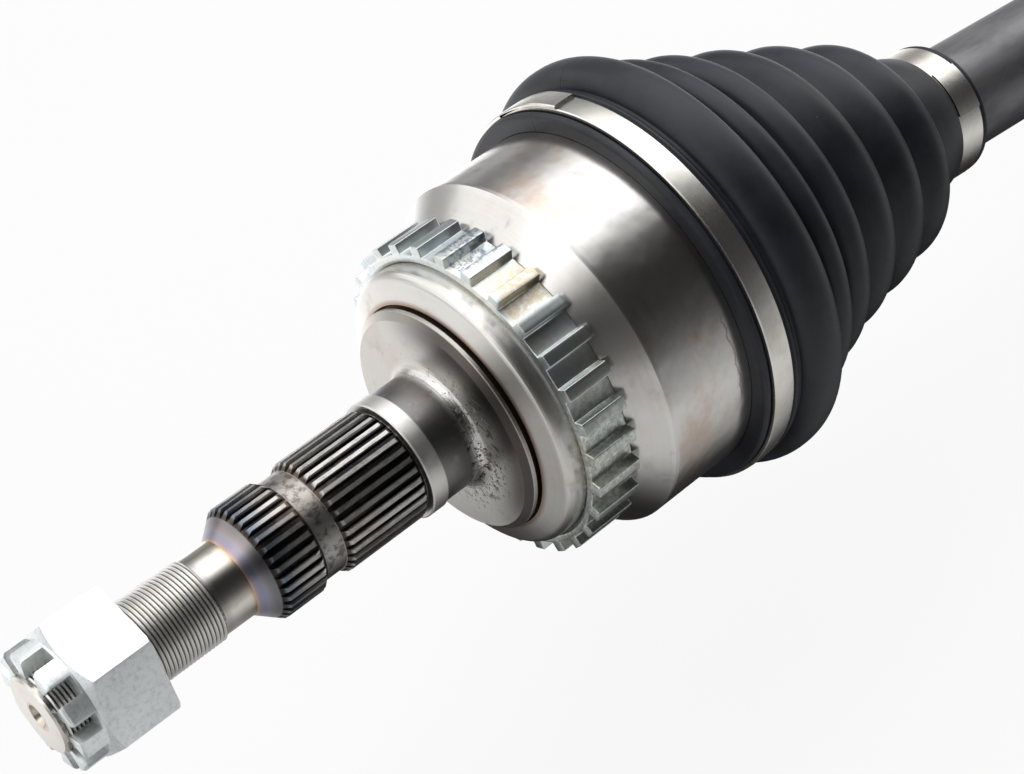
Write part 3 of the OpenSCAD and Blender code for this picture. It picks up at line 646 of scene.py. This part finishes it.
class Shop:
    """Mesh work that several pieces share."""

    @staticmethod
    def loop(name: str, points: list[Place]) -> bpy.types.Object:
        """Lays a closed loop of edges through points in metres."""
        Shop.clear()
        bpy.ops.mesh.primitive_circle_add(vertices=len(points), radius=0.01, fill_type="NOTHING")
        obj = bpy.context.object
        obj.name = obj.data.name = name
        for vertex, point in zip(obj.data.vertices, points):
            vertex.co = point
        return obj

    @staticmethod
    def clear() -> None:
        """Leaves edit mode and deselects everything."""
        if bpy.context.object and bpy.context.object.mode != "OBJECT":
            bpy.ops.object.mode_set(mode="OBJECT")
        bpy.ops.object.select_all(action="DESELECT")

    @staticmethod
    def edit(obj: bpy.types.Object) -> None:
        """Opens one object in edit mode with all of its mesh selected."""
        Shop.clear()
        bpy.context.view_layer.objects.active = obj
        obj.select_set(True)
        bpy.ops.object.mode_set(mode="EDIT")
        bpy.ops.mesh.select_all(action="SELECT")

    @staticmethod
    def done(obj: bpy.types.Object, angle: float = 30.0) -> None:
        """Merges doubles, turns faces outwards and smooths all but sharp edges."""
        Shop.edit(obj)
        bpy.ops.mesh.remove_doubles(threshold=2e-6)
        bpy.ops.mesh.normals_make_consistent(inside=False)
        bpy.ops.object.mode_set(mode="OBJECT")
        bpy.ops.object.shade_smooth_by_angle(angle=math.radians(angle))

    @staticmethod
    def lathe(
        name: str,
        outline: list[Point],
        steps: int,
        angle: float = 360.0,
        turn: float = 0.0,
    ) -> bpy.types.Object:
        """Spins a closed outline round X.

        Args:
            name: The new object's name.
            outline: Closed outline of (station, radius) points in millimetres.
            steps: Steps round the axis.
            angle: Angle of the sweep in degrees. It runs down from turn.
            turn: Where the sweep starts, from +Y towards +Z, in degrees.

        Returns:
            The new object, its mesh in metres along X.
        """
        y, z = MM * math.cos(math.radians(turn)), MM * math.sin(math.radians(turn))
        obj = Shop.loop(name, [(station * MM, r * y, r * z) for station, r in outline])
        Shop.edit(obj)
        bpy.ops.mesh.spin(
            steps=steps, angle=math.radians(angle), center=(0, 0, 0), axis=(1, 0, 0)
        )
        if angle < 360:
            bpy.ops.mesh.select_all(action="SELECT")
            bpy.ops.mesh.select_non_manifold()
            bpy.ops.mesh.edge_face_add()
        Shop.done(obj)
        return obj

    @staticmethod
    def lay(obj: bpy.types.Object, move: Callable[[Vector], Vector]) -> None:
        """Moves every point of a mesh by a rule."""
        for vertex in obj.data.vertices:
            vertex.co = move(vertex.co.copy())
        obj.data.update()

    @staticmethod
    def softened(node: str, name: str, width: float) -> bpy.types.Object:
        """Copies a CAD node, joins its loose triangles and rounds its edges by a width."""
        Shop.clear()
        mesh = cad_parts[node].data.copy()
        mesh.materials.clear()
        obj = bpy.data.objects.new(name, mesh)
        mesh.name = name
        bpy.context.scene.collection.objects.link(obj)
        Shop.edit(obj)
        bpy.ops.mesh.customdata_custom_splitnormals_clear()
        bpy.ops.mesh.remove_doubles(threshold=4e-6)
        bpy.ops.mesh.dissolve_limited(angle_limit=math.radians(1.0))
        bpy.ops.object.mode_set(mode="OBJECT")
        round_off = obj.modifiers.new("Rounding", "BEVEL")
        round_off.width = width * MM
        round_off.segments = 3
        round_off.limit_method = "ANGLE"
        round_off.angle_limit = math.radians(32)
        round_off.harden_normals = False
        bpy.ops.object.modifier_apply(modifier=round_off.name)
        bpy.ops.object.shade_smooth_by_angle(angle=math.radians(38))
        return obj

    @staticmethod
    def paint(obj: bpy.types.Object, material: bpy.types.Material) -> None:
        """Gives a piece or a CAD node one material."""
        if not obj.material_slots:
            obj.data.materials.append(material)
        for slot in obj.material_slots:
            slot.material = material


@dataclass(frozen=True)
class Bellows:
    """A bellows wall: rounded ridges and valleys joined by straight flanks.

    A ridge is its station, its radius and its rounding; a valley its station and radius.
    """

    ridges: list[Place]
    valleys: list[Point]
    valley_round: float

    def wall(self, inset: float) -> list[Point]:
        """Draws the wall's line from the first valley to the last.

        Args:
            inset: How far inside the outer surface the line runs.

        Returns:
            Points of (station, radius) in millimetres.
        """
        circles = []
        for number, valley in enumerate(self.valleys):
            low = valley[1] + self.valley_round
            circles.append((valley[0], low, self.valley_round + inset, -1))
            if number < len(self.ridges):
                station, radius, rounding = self.ridges[number]
                circles.append((station, radius - rounding, rounding - inset, 1))
        leans = []
        for (x0, r0, c0, _), (x1, r1, c1, side) in zip(circles, circles[1:]):
            gap = math.hypot(x1 - x0, r1 - r0)
            heading = math.atan2(r1 - r0, x1 - x0)
            open_by = math.acos(max(-1.0, min(1.0, -side * (c0 + c1) / gap)))
            leans.append(heading + open_by)
        points: list[Point] = []
        for number, (x, r, c, side) in enumerate(circles):
            first = leans[number - 1] if number else math.pi / 2
            last = leans[number] if number < len(leans) else math.pi / 2
            steps = 12 if side > 0 else 5
            for k in range(steps + 1):
                lean = first + (last - first) * k / steps
                points.append((x + side * c * math.cos(lean), r + side * c * math.sin(lean)))
        return points


def smooth_share(value: float, low: float, high: float) -> float:
    """Smooth step of a value, from 0 at low to 1 at high."""
    t = min(1.0, max(0.0, (value - low) / (high - low)))
    return t * t * (3 - 2 * t)


def arc(centre: Point, radius: float, first: float, last: float, steps: int) -> list[Point]:
    """Points of an arc, ends included, its angles in degrees from +station towards +radius."""
    angles = [math.radians(first + (last - first) * k / steps) for k in range(steps + 1)]
    return [(centre[0] + radius * math.cos(a), centre[1] + radius * math.sin(a)) for a in angles]


def roll(centre: Point, half: Point, power: float, steps: int) -> list[Point]:
    """Points of a rounded roll, from its outboard side over to its inboard side.

    Half holds half its width, and its height. A power over 2 is fuller than an ellipse.
    """
    points = []
    for k in range(steps + 1):
        a = math.pi * (1 - k / steps)
        across, over = math.cos(a), math.sin(a)
        x = centre[0] + half[0] * math.copysign(abs(across) ** (2 / power), across)
        points.append((x, centre[1] + half[1] * max(0.0, over) ** (2 / power)))
    return points


# Sub-assemblies


@dataclass
class HubEnd:
    """The splined stub, its thread and nut, the housing and the tone ring."""

    crest_r: float = 10.0
    root_r: float = 9.38
    inner_r: float = 9.1
    pitch: float = 1.0
    thread_from: float = -109.4
    thread_to: float = -67.4
    run_out: float = 0.9
    nut_edge: float = 0.5
    tooth_edge: float = 0.24

    def thread(self) -> bpy.types.Object:
        """Cuts the thread as a helical ridge on the stub's core."""
        half = self.pitch / 2
        outline = [
            (-half, self.root_r),
            (-half * 0.2, self.crest_r - 0.03),
            (-half * 0.08, self.crest_r),
            (half * 0.08, self.crest_r),
            (half * 0.2, self.crest_r - 0.03),
            (half, self.root_r),
            (half, self.inner_r),
            (-half, self.inner_r),
        ]
        start = [((self.thread_from + station) * MM, 0.0, r * MM) for station, r in outline]
        obj = Shop.loop("stub_thread", start)
        helix = obj.modifiers.new("Helix", "SCREW")
        helix.axis = "X"
        helix.screw_offset = self.pitch * MM
        helix.iterations = int((self.thread_to - self.thread_from) / self.pitch)
        helix.steps = helix.render_steps = 60
        helix.use_merge_vertices = False
        bpy.ops.object.modifier_apply(modifier=helix.name)
        low, high = self.thread_from + 0.3, self.thread_to - 0.6

        def trim(point: Vector) -> Vector:
            """Runs the thread out at both ends."""
            x = point.x / MM
            reach = min(x - low, high - x)
            height = min(1.0, max(0.0, reach / self.run_out))
            limit = self.inner_r + (self.crest_r - self.inner_r) * height
            radius = math.hypot(point.y, point.z) / MM
            share = min(1.0, limit / radius)
            return Vector((point.x, point.y * share, point.z * share))

        Shop.lay(obj, trim)
        Shop.edit(obj)
        bpy.ops.mesh.select_non_manifold()
        bpy.ops.mesh.edge_face_add()
        Shop.done(obj, 28)
        Shop.paint(obj, ThreadSteel().build())
        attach(obj, "hub_end")
        return obj

    def nut(self) -> bpy.types.Object:
        """Rounds the nut's edges."""
        obj = Shop.softened("hub_nut", "nut", self.nut_edge)
        Shop.paint(obj, Zinc("nut_zinc", (0.9, 0.945, 0.94), 0.0, 0.3, 0.6).build())
        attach(obj, "nut")
        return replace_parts(obj, "hub_nut")

    def tone_ring(self) -> bpy.types.Object:
        """Rounds the edges of the tone ring's teeth."""
        obj = Shop.softened("abs_ring", "tone_ring", self.tooth_edge)
        Shop.paint(obj, Zinc("ring_zinc", (0.7, 0.75, 0.75), 0.2, 0.25, 1.0, 0.85).build())
        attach(obj, "hub_end")
        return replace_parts(obj, "abs_ring")

    def build(self) -> list[bpy.types.Object]:
        """Makes the pieces and dresses the housing."""
        Shop.paint(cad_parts["outer_race"], TurnedHousing().build())
        return [self.thread(), self.nut(), self.tone_ring()]


@dataclass
class OuterBoot:
    """The boot of the fixed joint, with its two clamps."""

    seat_r: float = 44.5
    land_r: float = 48.9
    lip_from: float = 1.1
    clamp_from: float = 3.2
    clamp_to: float = 9.2
    wall_t: float = 2.0
    neck_r: float = 16.7
    neck_seat_r: float = 14.41
    neck_from: float = 109.8
    neck_to: float = 118.0
    end: float = 120.6
    bend_from: float = 18.0
    bend_to: float = 96.0
    steps: int = 144
    band_t: float = 0.9
    lap_from: float = 38.0
    lap_to: float = 65.0
    roll_at: Point = (18.0, 47.6)
    roll_half: Point = (6.2, 5.8)
    first_valley: Point = (26.3, 43.6)
    valley_round: float = 0.8

    def outline(self) -> list[Point]:
        """Draws the boot's closed section, lip first."""
        folds = Bellows(
            ridges=[
                (30.5, 46.8, 3.4), (41.0, 42.8, 4.0), (55.0, 38.4, 5.2),
                (70.8, 34.3, 5.6), (87.0, 29.8, 5.6),
            ],
            valleys=[
                self.first_valley, (35.8, 38.6), (48.0, 33.6),
                (63.0, 29.0), (79.0, 24.8), (97.0, 20.8),
            ],
            valley_round=self.valley_round,
        )
        outside = folds.wall(0.0)
        inside = folds.wall(self.wall_t)
        start = (self.first_valley[0], self.first_valley[1] + self.valley_round)
        lip = [
            (self.lip_from, self.seat_r),
            (self.lip_from, self.land_r - 1.6),
            *arc((self.lip_from + 1.2, self.land_r - 1.4), 1.2, 180, 60, 4),
            (self.clamp_from - 0.1, self.land_r - 0.6),
            (self.clamp_from - 0.1, self.land_r - 0.05),
            (self.clamp_to + 0.2, self.land_r - 0.05),
            (self.clamp_to + 0.5, self.land_r + 0.2),
            *arc((self.clamp_to + 1.2, self.land_r + 0.3), 0.55, 170, 20, 5),
            (self.clamp_to + 2.0, self.land_r + 0.3),
        ]
        first = roll(self.roll_at, self.roll_half, 2.35, 26)[2:]
        half = (self.roll_half[0] - self.wall_t, self.roll_half[1] - self.wall_t)
        under = roll(self.roll_at, half, 2.2, 14)
        neck = [
            (103.0, 20.2),
            (self.neck_from - 1.0, 18.5),
            (self.neck_from - 0.4, 18.2),
            (self.neck_from - 0.2, self.neck_r),
            (self.neck_to + 0.3, self.neck_r),
            *arc((self.neck_to + 1.4, self.neck_r - 0.1), 1.1, 150, 20, 5),
            (self.end, self.neck_r - 0.4),
            (self.end, self.neck_seat_r),
            (self.neck_from - 4.0, self.neck_seat_r),
            (101.0, 18.0),
        ]
        return [
            *lip,
            *first,
            *arc(start, self.valley_round, 180, 255, 3),
            *outside,
            *neck,
            *reversed(inside),
            *arc(start, self.valley_round + self.wall_t, 255, 180, 5),
            *reversed(under),
            (self.roll_at[0] - half[0], self.seat_r),
        ]

    def clamp(self) -> bpy.types.Object:
        """Rolls the large clamp: a crowned band whose end laps over its start."""
        low, high, t = self.clamp_from, self.clamp_to, self.band_t
        section = [
            (low, self.land_r),
            (low, self.land_r + t * 0.6),
            (low + 0.25, self.land_r + t * 0.85),
            (low + 1.5, self.land_r + t),
            (high - 1.5, self.land_r + t),
            (high - 0.25, self.land_r + t * 0.85),
            (high, self.land_r + t * 0.6),
            (high, self.land_r),
        ]
        band = Shop.lathe("large_clamp", section, 180)
        lap_section = [(s, r + t * 0.85) for s, r in section]
        width = self.lap_to - self.lap_from
        lap = Shop.lathe("large_clamp_lap", lap_section, 24, width, self.lap_to)

        def ramp(point: Vector) -> Vector:
            """Lets the lap run out into the band."""
            angle = math.degrees(math.atan2(point.z, point.y))
            radius = math.hypot(point.y, point.z)
            sunk = t * 0.9 * MM * (1 - min(1.0, (angle - self.lap_from) / (width * 0.6)))
            share = (radius - sunk) / radius
            return Vector((point.x, point.y * share, point.z * share))

        Shop.lay(lap, ramp)
        Shop.clear()
        bpy.context.view_layer.objects.active = band
        band.select_set(True)
        lap.select_set(True)
        bpy.ops.object.join()
        Shop.lay(band, lambda p: p + Line.BAR.start)
        Shop.paint(band, BandSteel("large_clamp_steel", Line.STUB).build())
        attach(band, "hub_end")
        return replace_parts(band, "outer_boot_clamp_large")

    def bent(self, point: Vector) -> Vector:
        """Carries a point drawn along X round the joint's bend."""
        bend = math.radians(BAR_DROP) * smooth_share(point.x / MM, self.bend_from, self.bend_to)
        across, over = math.cos(bend), math.sin(bend)
        x, z = point.x * across + point.z * over, point.z * across - point.x * over
        return Line.BAR.start + Vector((x, point.y, z))

    def boot(self) -> bpy.types.Object:
        """Makes the bellows."""
        obj = Shop.lathe("outer_bellows", self.outline(), self.steps)
        Shop.lay(obj, self.bent)
        rubber = BootRubber("outer_boot_rubber", Line.BAR, seam_at=56.5, seam_to=24.0)
        Shop.paint(obj, rubber.build())
        Line.STUB.place(JOINT_X + self.bend_from)
        Line.BAR.place(self.bend_to)
        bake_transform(obj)
        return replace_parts(obj, "outer_boot")

    def build(self) -> list[bpy.types.Object]:
        """Makes the pieces and dresses the small clamp."""
        small = BandSteel("outer_small_clamp_steel", Line.BAR).build()
        Shop.paint(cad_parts["outer_boot_clamp_small"], small)
        return [self.boot(), self.clamp()]


@dataclass
class InnerBoot:
    """The boot of the tripod joint, in two pieces that meet at a valley."""

    centre: float = 330.0
    land_r: float = 46.5
    seat_r: float = 43.6
    wall_t: float = 2.0
    small_r: float = 17.4
    bar_r: float = 14.3
    ridge_round: float = 2.8
    valley_round: float = 1.3
    split: Point = (51.0, 31.5)
    blend_from: float = 92.0
    blend_to: float = 37.0
    steps: int = 96

    def section(self, ridges: list[Point], valleys: list[Point]) -> tuple[list[Point], list[Point]]:
        """Draws both faces of a stretch of bellows."""
        rounded = [(station, radius, self.ridge_round) for station, radius in ridges]
        folds = Bellows(rounded, valleys, self.valley_round)
        return folds.wall(0.0), folds.wall(self.wall_t)

    def carry(self, obj: bpy.types.Object) -> None:
        """Places a piece drawn outboard of the spider's centre on the bar's line."""
        Shop.lay(obj, lambda p: Line.BAR.place(self.centre - p.x / MM, p.y / MM, p.z / MM))
        Shop.edit(obj)
        bpy.ops.mesh.normals_make_consistent(inside=False)
        bpy.ops.object.mode_set(mode="OBJECT")

    def build(self) -> list[bpy.types.Object]:
        """Makes the two pieces and dresses the clamps."""
        rubber = BootRubber("inner_boot_rubber", Line.BAR).build()
        outside, inside = self.section([(45.0, 42.0)], [(39.5, 36.5), self.split])
        big = Shop.lathe(
            "inner_bellows_large",
            [
                (17.0, self.seat_r),
                (17.0, self.land_r + 0.2),
                *arc((17.9, self.land_r + 0.1), 0.9, 180, 40, 4),
                (19.2, self.land_r),
                (28.0, self.land_r),
                (28.4, self.land_r + 0.6),
                (32.0, self.land_r + 0.4),
                (36.4, 44.0),
                *outside,
                *reversed(inside),
                (35.2, 42.0),
                (31.2, 43.0),
                (30.3, self.seat_r),
            ],
            self.steps,
        )
        outside, inside = self.section(
            [(56.5, 36.5), (67.5, 31.2), (78.0, 26.6)],
            [self.split, (62.2, 26.6), (72.8, 22.6), (83.4, 20.0)],
        )
        small = Shop.lathe(
            "inner_bellows_small",
            [
                *outside,
                (95.0, 19.0),
                (96.2, 18.6),
                (96.5, self.small_r),
                (104.3, self.small_r),
                *arc((105.4, self.small_r - 0.1), 1.0, 150, 20, 4),
                (106.8, self.small_r - 0.4),
                (106.8, self.bar_r),
                (94.0, self.bar_r),
                (88.0, 17.0),
                *reversed(inside),
            ],
            self.steps,
        )
        for obj in (big, small):
            self.carry(obj)
            Shop.paint(obj, rubber)
        Line.BAR.place(self.centre - self.blend_from)
        Line.BAR.place(self.centre - self.split[0])
        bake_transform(small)
        Line.BAR.place(self.centre - self.split[0])
        Line.BAR.place(self.centre - self.blend_to)
        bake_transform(big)
        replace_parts(big, "inner_boot")
        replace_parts(small, "inner_boot")
        for node in ("inner_boot_clamp_large", "inner_boot_clamp_small"):
            Shop.paint(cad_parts[node], BandSteel(f"{node}_steel", Line.BAR).build())
        return [big, small]


# Plain steels of the parts inside the joints: name, tone, roughness and nodes
INNER_STEELS = (
    ("ground_steel", (0.5, 0.5, 0.49), 0.24, "inner_race spider roller_1 roller_2 roller_3"),
    (
        "bearing_steel",
        (0.7, 0.7, 0.7),
        0.12,
        "ball_1 ball_2 ball_3 ball_4 ball_5 ball_6 needle_rollers",
    ),
    (
        "spring_steel",
        (0.16, 0.16, 0.165),
        0.36,
        "race_circlip spider_circlip stub_circlip roller_retainers",
    ),
    ("cage_steel", (0.2, 0.2, 0.205), 0.34, "ball_cage"),
)


@dataclass
class InnerWorks:
    """Finishes of the bar, the tripod joint and what the two joints hold inside."""

    def build(self) -> list[bpy.types.Object]:
        """Dresses the CAD nodes and makes no new piece."""
        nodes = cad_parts
        Shop.paint(nodes["axle_bar"], BarSteel().build())
        tulip = GroundSteel("tulip_steel", Line.BAR, (0.56, 0.55, 0.53), 0.32, 438.5, 480.0, 13.6)
        Shop.paint(nodes["tulip"], tulip.build())
        for name, tone, roughness, dressed in INNER_STEELS:
            steel = GroundSteel(name, Line.BAR, tone, roughness).build()
            for node in dressed.split():
                Shop.paint(nodes[node], steel)
        return []


# Studio

# Glow of the bent card by its direction in degrees, from +Y towards +Z
SURROUND = [
    (-8.0, 0.3), (10.0, 0.25), (24.0, 0.6), (38.0, 1.6), (50.0, 2.2), (79.0, 2.2), (87.0, 1.4),
    (94.5, 0.5), (102.0, 0.12), (109.0, 0.04), (117.0, 0.022), (139.0, 0.035), (158.0, 0.085),
    (170.0, 0.22), (178.0, 0.4), (188.0, 0.5),
]

# Glow of the table card beside the shaft, by Y in metres; the dim stretch round Y 0 is a painted
# shadow of the shaft
TABLE_BY_SHAFT = [
    (-0.6, 0.5), (-0.45, 0.65), (-0.3, 0.78), (-0.17, 0.7), (-0.1, 0.43), (-0.068, 0.1),
    (-0.05, 0.015), (0.04, 0.015), (0.07, 1.2), (0.11, 1.7), (0.19, 1.9), (0.26, 0.9), (0.37, 0.4),
    (0.6, 0.3),
]

# Glow of the table card past the shaft's ends, by Y in metres
TABLE_OPEN = [
    (-0.6, 0.5), (-0.3, 0.8), (-0.1, 0.75), (-0.03, 0.4), (0.02, 0.5), (0.06, 1.15), (0.16, 1.3),
    (0.6, 0.5),
]


@dataclass
class Studio:
    """Floor, lamps, reflected cards and camera."""

    floor_gap: float = 0.5
    card_gap: float = 0.3
    lens: float = 87.89
    sensor: float = 36.0
    eye: Place = (-0.22939, -0.26344, 0.42804)
    eye_right: Place = (0.72376, -0.69006, 0.0)
    eye_up: Place = (0.52823, 0.55404, 0.64344)
    eye_back: Place = (-0.44401, -0.46570, 0.76550)
    room: float = 0.16
    floor_size: float = 40.0
    floor_white: float = 0.91
    surround_r: float = 2.0
    surround_half: float = 8.0
    surround_from: float = -2.4
    surround_turn: float = 184.8

    def camera(self) -> None:
        """Stands the camera where the photograph was taken from."""
        data = bpy.data.cameras.new("camera")
        data.lens, data.sensor_width, data.sensor_fit = self.lens, self.sensor, "HORIZONTAL"
        data.clip_start, data.clip_end = 0.01, 20.0
        obj = bpy.data.objects.new("camera", data)
        bpy.context.scene.collection.objects.link(obj)
        turn = Matrix((self.eye_right, self.eye_up, self.eye_back)).transposed().to_4x4()
        obj.matrix_world = Matrix.Translation(self.eye) @ turn
        bpy.context.scene.camera = obj

    @staticmethod
    def background(tree: Any, kind: str, lit: Any, share: float) -> Any:
        """Mixes plain white into what the camera and reflections see.

        Args:
            tree: The node tree.
            kind: The plain white's node type.
            lit: The shader that lights and takes shadows.
            share: Share of white.

        Returns:
            The mixed shader's socket.
        """
        path = tree.nodes.new("ShaderNodeLightPath")
        seen = Sig(tree, path.outputs["Is Camera Ray"])
        seen = seen.at_least(Sig(tree, path.outputs["Is Glossy Ray"]))
        seen = seen.at_least(Sig(tree, path.outputs["Is Transmission Ray"]))
        white = tree.nodes.new(kind)
        white.inputs["Color"].default_value = (1, 1, 1, 1)
        white.inputs["Strength"].default_value = 1.0
        mixed = tree.nodes.new("ShaderNodeMixShader")
        feed(tree, mixed.inputs[0], seen * share)
        tree.links.new(lit, mixed.inputs[1])
        tree.links.new(white.outputs[0], mixed.inputs[2])
        return mixed.outputs[0]

    def floor(self, height: float) -> None:
        """Lays the pale floor at a height in metres."""
        Shop.clear()
        bpy.ops.mesh.primitive_plane_add(size=self.floor_size, location=(0, 0, height))
        obj = bpy.context.object
        obj.name = "floor"
        material = bpy.data.materials.new("floor_white")
        material.use_nodes = True
        tree = material.node_tree
        shader = tree.nodes["Principled BSDF"]
        shader.inputs["Base Color"].default_value = (0.93, 0.93, 0.93, 1)
        shader.inputs["Roughness"].default_value = 0.9
        out = tree.nodes["Material Output"]
        seen = self.background(tree, "ShaderNodeEmission", shader.outputs[0], self.floor_white)
        tree.links.new(seen, out.inputs["Surface"])
        Shop.paint(obj, material)
        obj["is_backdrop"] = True

    def world(self) -> None:
        """Lights the room softly from all round."""
        world = bpy.data.worlds.new("room")
        world.use_nodes = True
        bpy.context.scene.world = world
        tree = world.node_tree
        lit = tree.nodes["Background"]
        lit.inputs["Color"].default_value = (0.96, 0.98, 1.0, 1)
        lit.inputs["Strength"].default_value = self.room
        out = tree.nodes["World Output"]
        seen = self.background(tree, "ShaderNodeBackground", lit.outputs[0], 1.0)
        tree.links.new(seen, out.inputs["Surface"])

    @staticmethod
    def toward(angle: float, distance: float, x: float) -> Matrix:
        """Matrix of a thing that faces the shaft from an angle, a distance and a station."""
        a = math.radians(angle)
        out = Vector((0, math.cos(a), math.sin(a)))
        along = Vector((1, 0, 0))
        turn = Matrix((along.cross(out), along, out)).transposed().to_4x4()
        return Matrix.Translation(Vector((x, 0, 0)) + out * distance) @ turn

    def lamp(
        self, name: str, angle: float, distance: float, x: float, size: Point, watts: float
    ) -> None:
        """Hangs one soft lamp, its angle in degrees from +Y towards +Z, lengths in metres."""
        data = bpy.data.lights.new(name, "AREA")
        data.shape, data.size, data.size_y, data.energy = "RECTANGLE", size[0], size[1], watts
        obj = bpy.data.objects.new(name, data)
        bpy.context.scene.collection.objects.link(obj)
        obj.matrix_world = self.toward(angle, distance, x)
        obj.visible_glossy = False
        obj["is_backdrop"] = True

    @staticmethod
    def unseen(obj: bpy.types.Object, name: str, glow: bpy.types.Material) -> None:
        """Names and paints a studio card, and keeps it to reflections alone."""
        obj.name = name
        Shop.paint(obj, glow)
        obj.visible_camera = obj.visible_diffuse = obj.visible_shadow = False
        obj.visible_transmission = obj.visible_volume_scatter = False
        obj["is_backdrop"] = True

    @staticmethod
    def glow(name: str, shade: Callable[[Bench, Sig, Sig, Sig], Sig]) -> bpy.types.Material:
        """Makes a plain grey glow whose strength varies over a card.

        Args:
            name: The material's name.
            shade: Gives the strength from the bench and the place (x, y, z) in metres.

        Returns:
            The material.
        """
        b = Bench(name, Line.STUB)
        b.tree.nodes.remove(b.shader)
        split = b.node("ShaderNodeSeparateXYZ", {}, {0: b.place})
        x, y, z = (b.sig(split.outputs[k]) for k in range(3))
        light = b.node("ShaderNodeEmission", {}, {"Strength": shade(b, x, y, z)})
        light.inputs["Color"].default_value = (1, 1, 1, 1)
        out = b.tree.nodes["Material Output"]
        b.tree.links.new(light.outputs[0], out.inputs["Surface"])
        return b.material

    @staticmethod
    def levels(b: Bench, value: Sig, stops: list[Point], top: float = 2.0) -> Sig:
        """A strength read off a list of places and strengths, none of them over top."""
        low, high = stops[0][0], stops[-1][0]
        shades = [((p - low) / (high - low), (g / top,) * 3) for p, g in stops]
        return b.sig(b.ramp((value - low) / (high - low), shades)) * top

    def surround(self) -> None:
        """Bends a large graded card over the shaft: softbox above, dark room behind it."""

        def shade(b: Bench, x: Sig, y: Sig, z: Sig) -> Sig:
            """Strength by the direction round the shaft."""
            turn = b.node("ShaderNodeMath", {"operation": "ARCTAN2"}, {0: z, 1: y}).outputs[0]
            angle = b.sig(turn) * math.degrees(1)
            level = self.levels(b, angle, SURROUND, 2.5)
            front = x.fall(-0.1, 0.5) * (1 - angle.step(38.0, 62.0))
            return level + (1.5 - level) * front

        Shop.clear()
        bpy.ops.mesh.primitive_grid_add(x_subdivisions=48, y_subdivisions=2, size=2.0)
        obj = bpy.context.object
        for vertex in obj.data.vertices:
            a = math.radians(self.surround_from + self.surround_turn * (vertex.co.x + 1) / 2)
            y, z = self.surround_r * math.cos(a), self.surround_r * math.sin(a)
            vertex.co = (vertex.co.y * self.surround_half, y, z)
        self.unseen(obj, "surround", self.glow("surround_card", shade))

    def table(self, height: float) -> None:
        """Lays what polished steel sees of the table: pale, with the shaft's shadow painted on it
        as a dark stretch.
        """

        def shade(b: Bench, x: Sig, y: Sig, z: Sig) -> Sig:
            """Strength by the place on the table."""
            # painted shadow of the shaft in the stretch beside it
            beside = self.levels(b, y, TABLE_BY_SHAFT)
            free = self.levels(b, y, TABLE_OPEN)
            return free + (beside - free) * x.between(-0.015, 0.3, 0.03)

        Shop.clear()
        bpy.ops.mesh.primitive_plane_add(size=4.0)
        obj = bpy.context.object
        for vertex in obj.data.vertices:
            vertex.co.z = height
        self.unseen(obj, "table_glow", self.glow("table_card", shade))

    def build(self) -> None:
        """Sets the whole studio up."""
        self.camera()
        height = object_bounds()[0][2] - self.floor_gap * MM
        self.floor(height)
        self.table(height + self.card_gap * MM)
        self.world()
        self.lamp("softbox", 60.0, 1.5, 0.5, (1.25, 2.6), 24.0)
        self.lamp("fill", 200.0, 1.8, -0.4, (1.0, 1.6), 0.6)
        self.surround()
        bpy.context.scene.view_settings.view_transform = "Standard"


def main() -> None:
    """Builds everything in order and reports each piece."""
    logging.basicConfig(level=logging.INFO, format="%(name)s: %(message)s")
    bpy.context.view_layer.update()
    for group in (HubEnd(), OuterBoot(), InnerBoot(), InnerWorks()):
        for piece in group.build():
            LOG.info("%s: %s, %d faces", type(group).__name__, piece.name, len(piece.data.polygons))
    Studio().build()


if __name__ == "__main__":
    main()
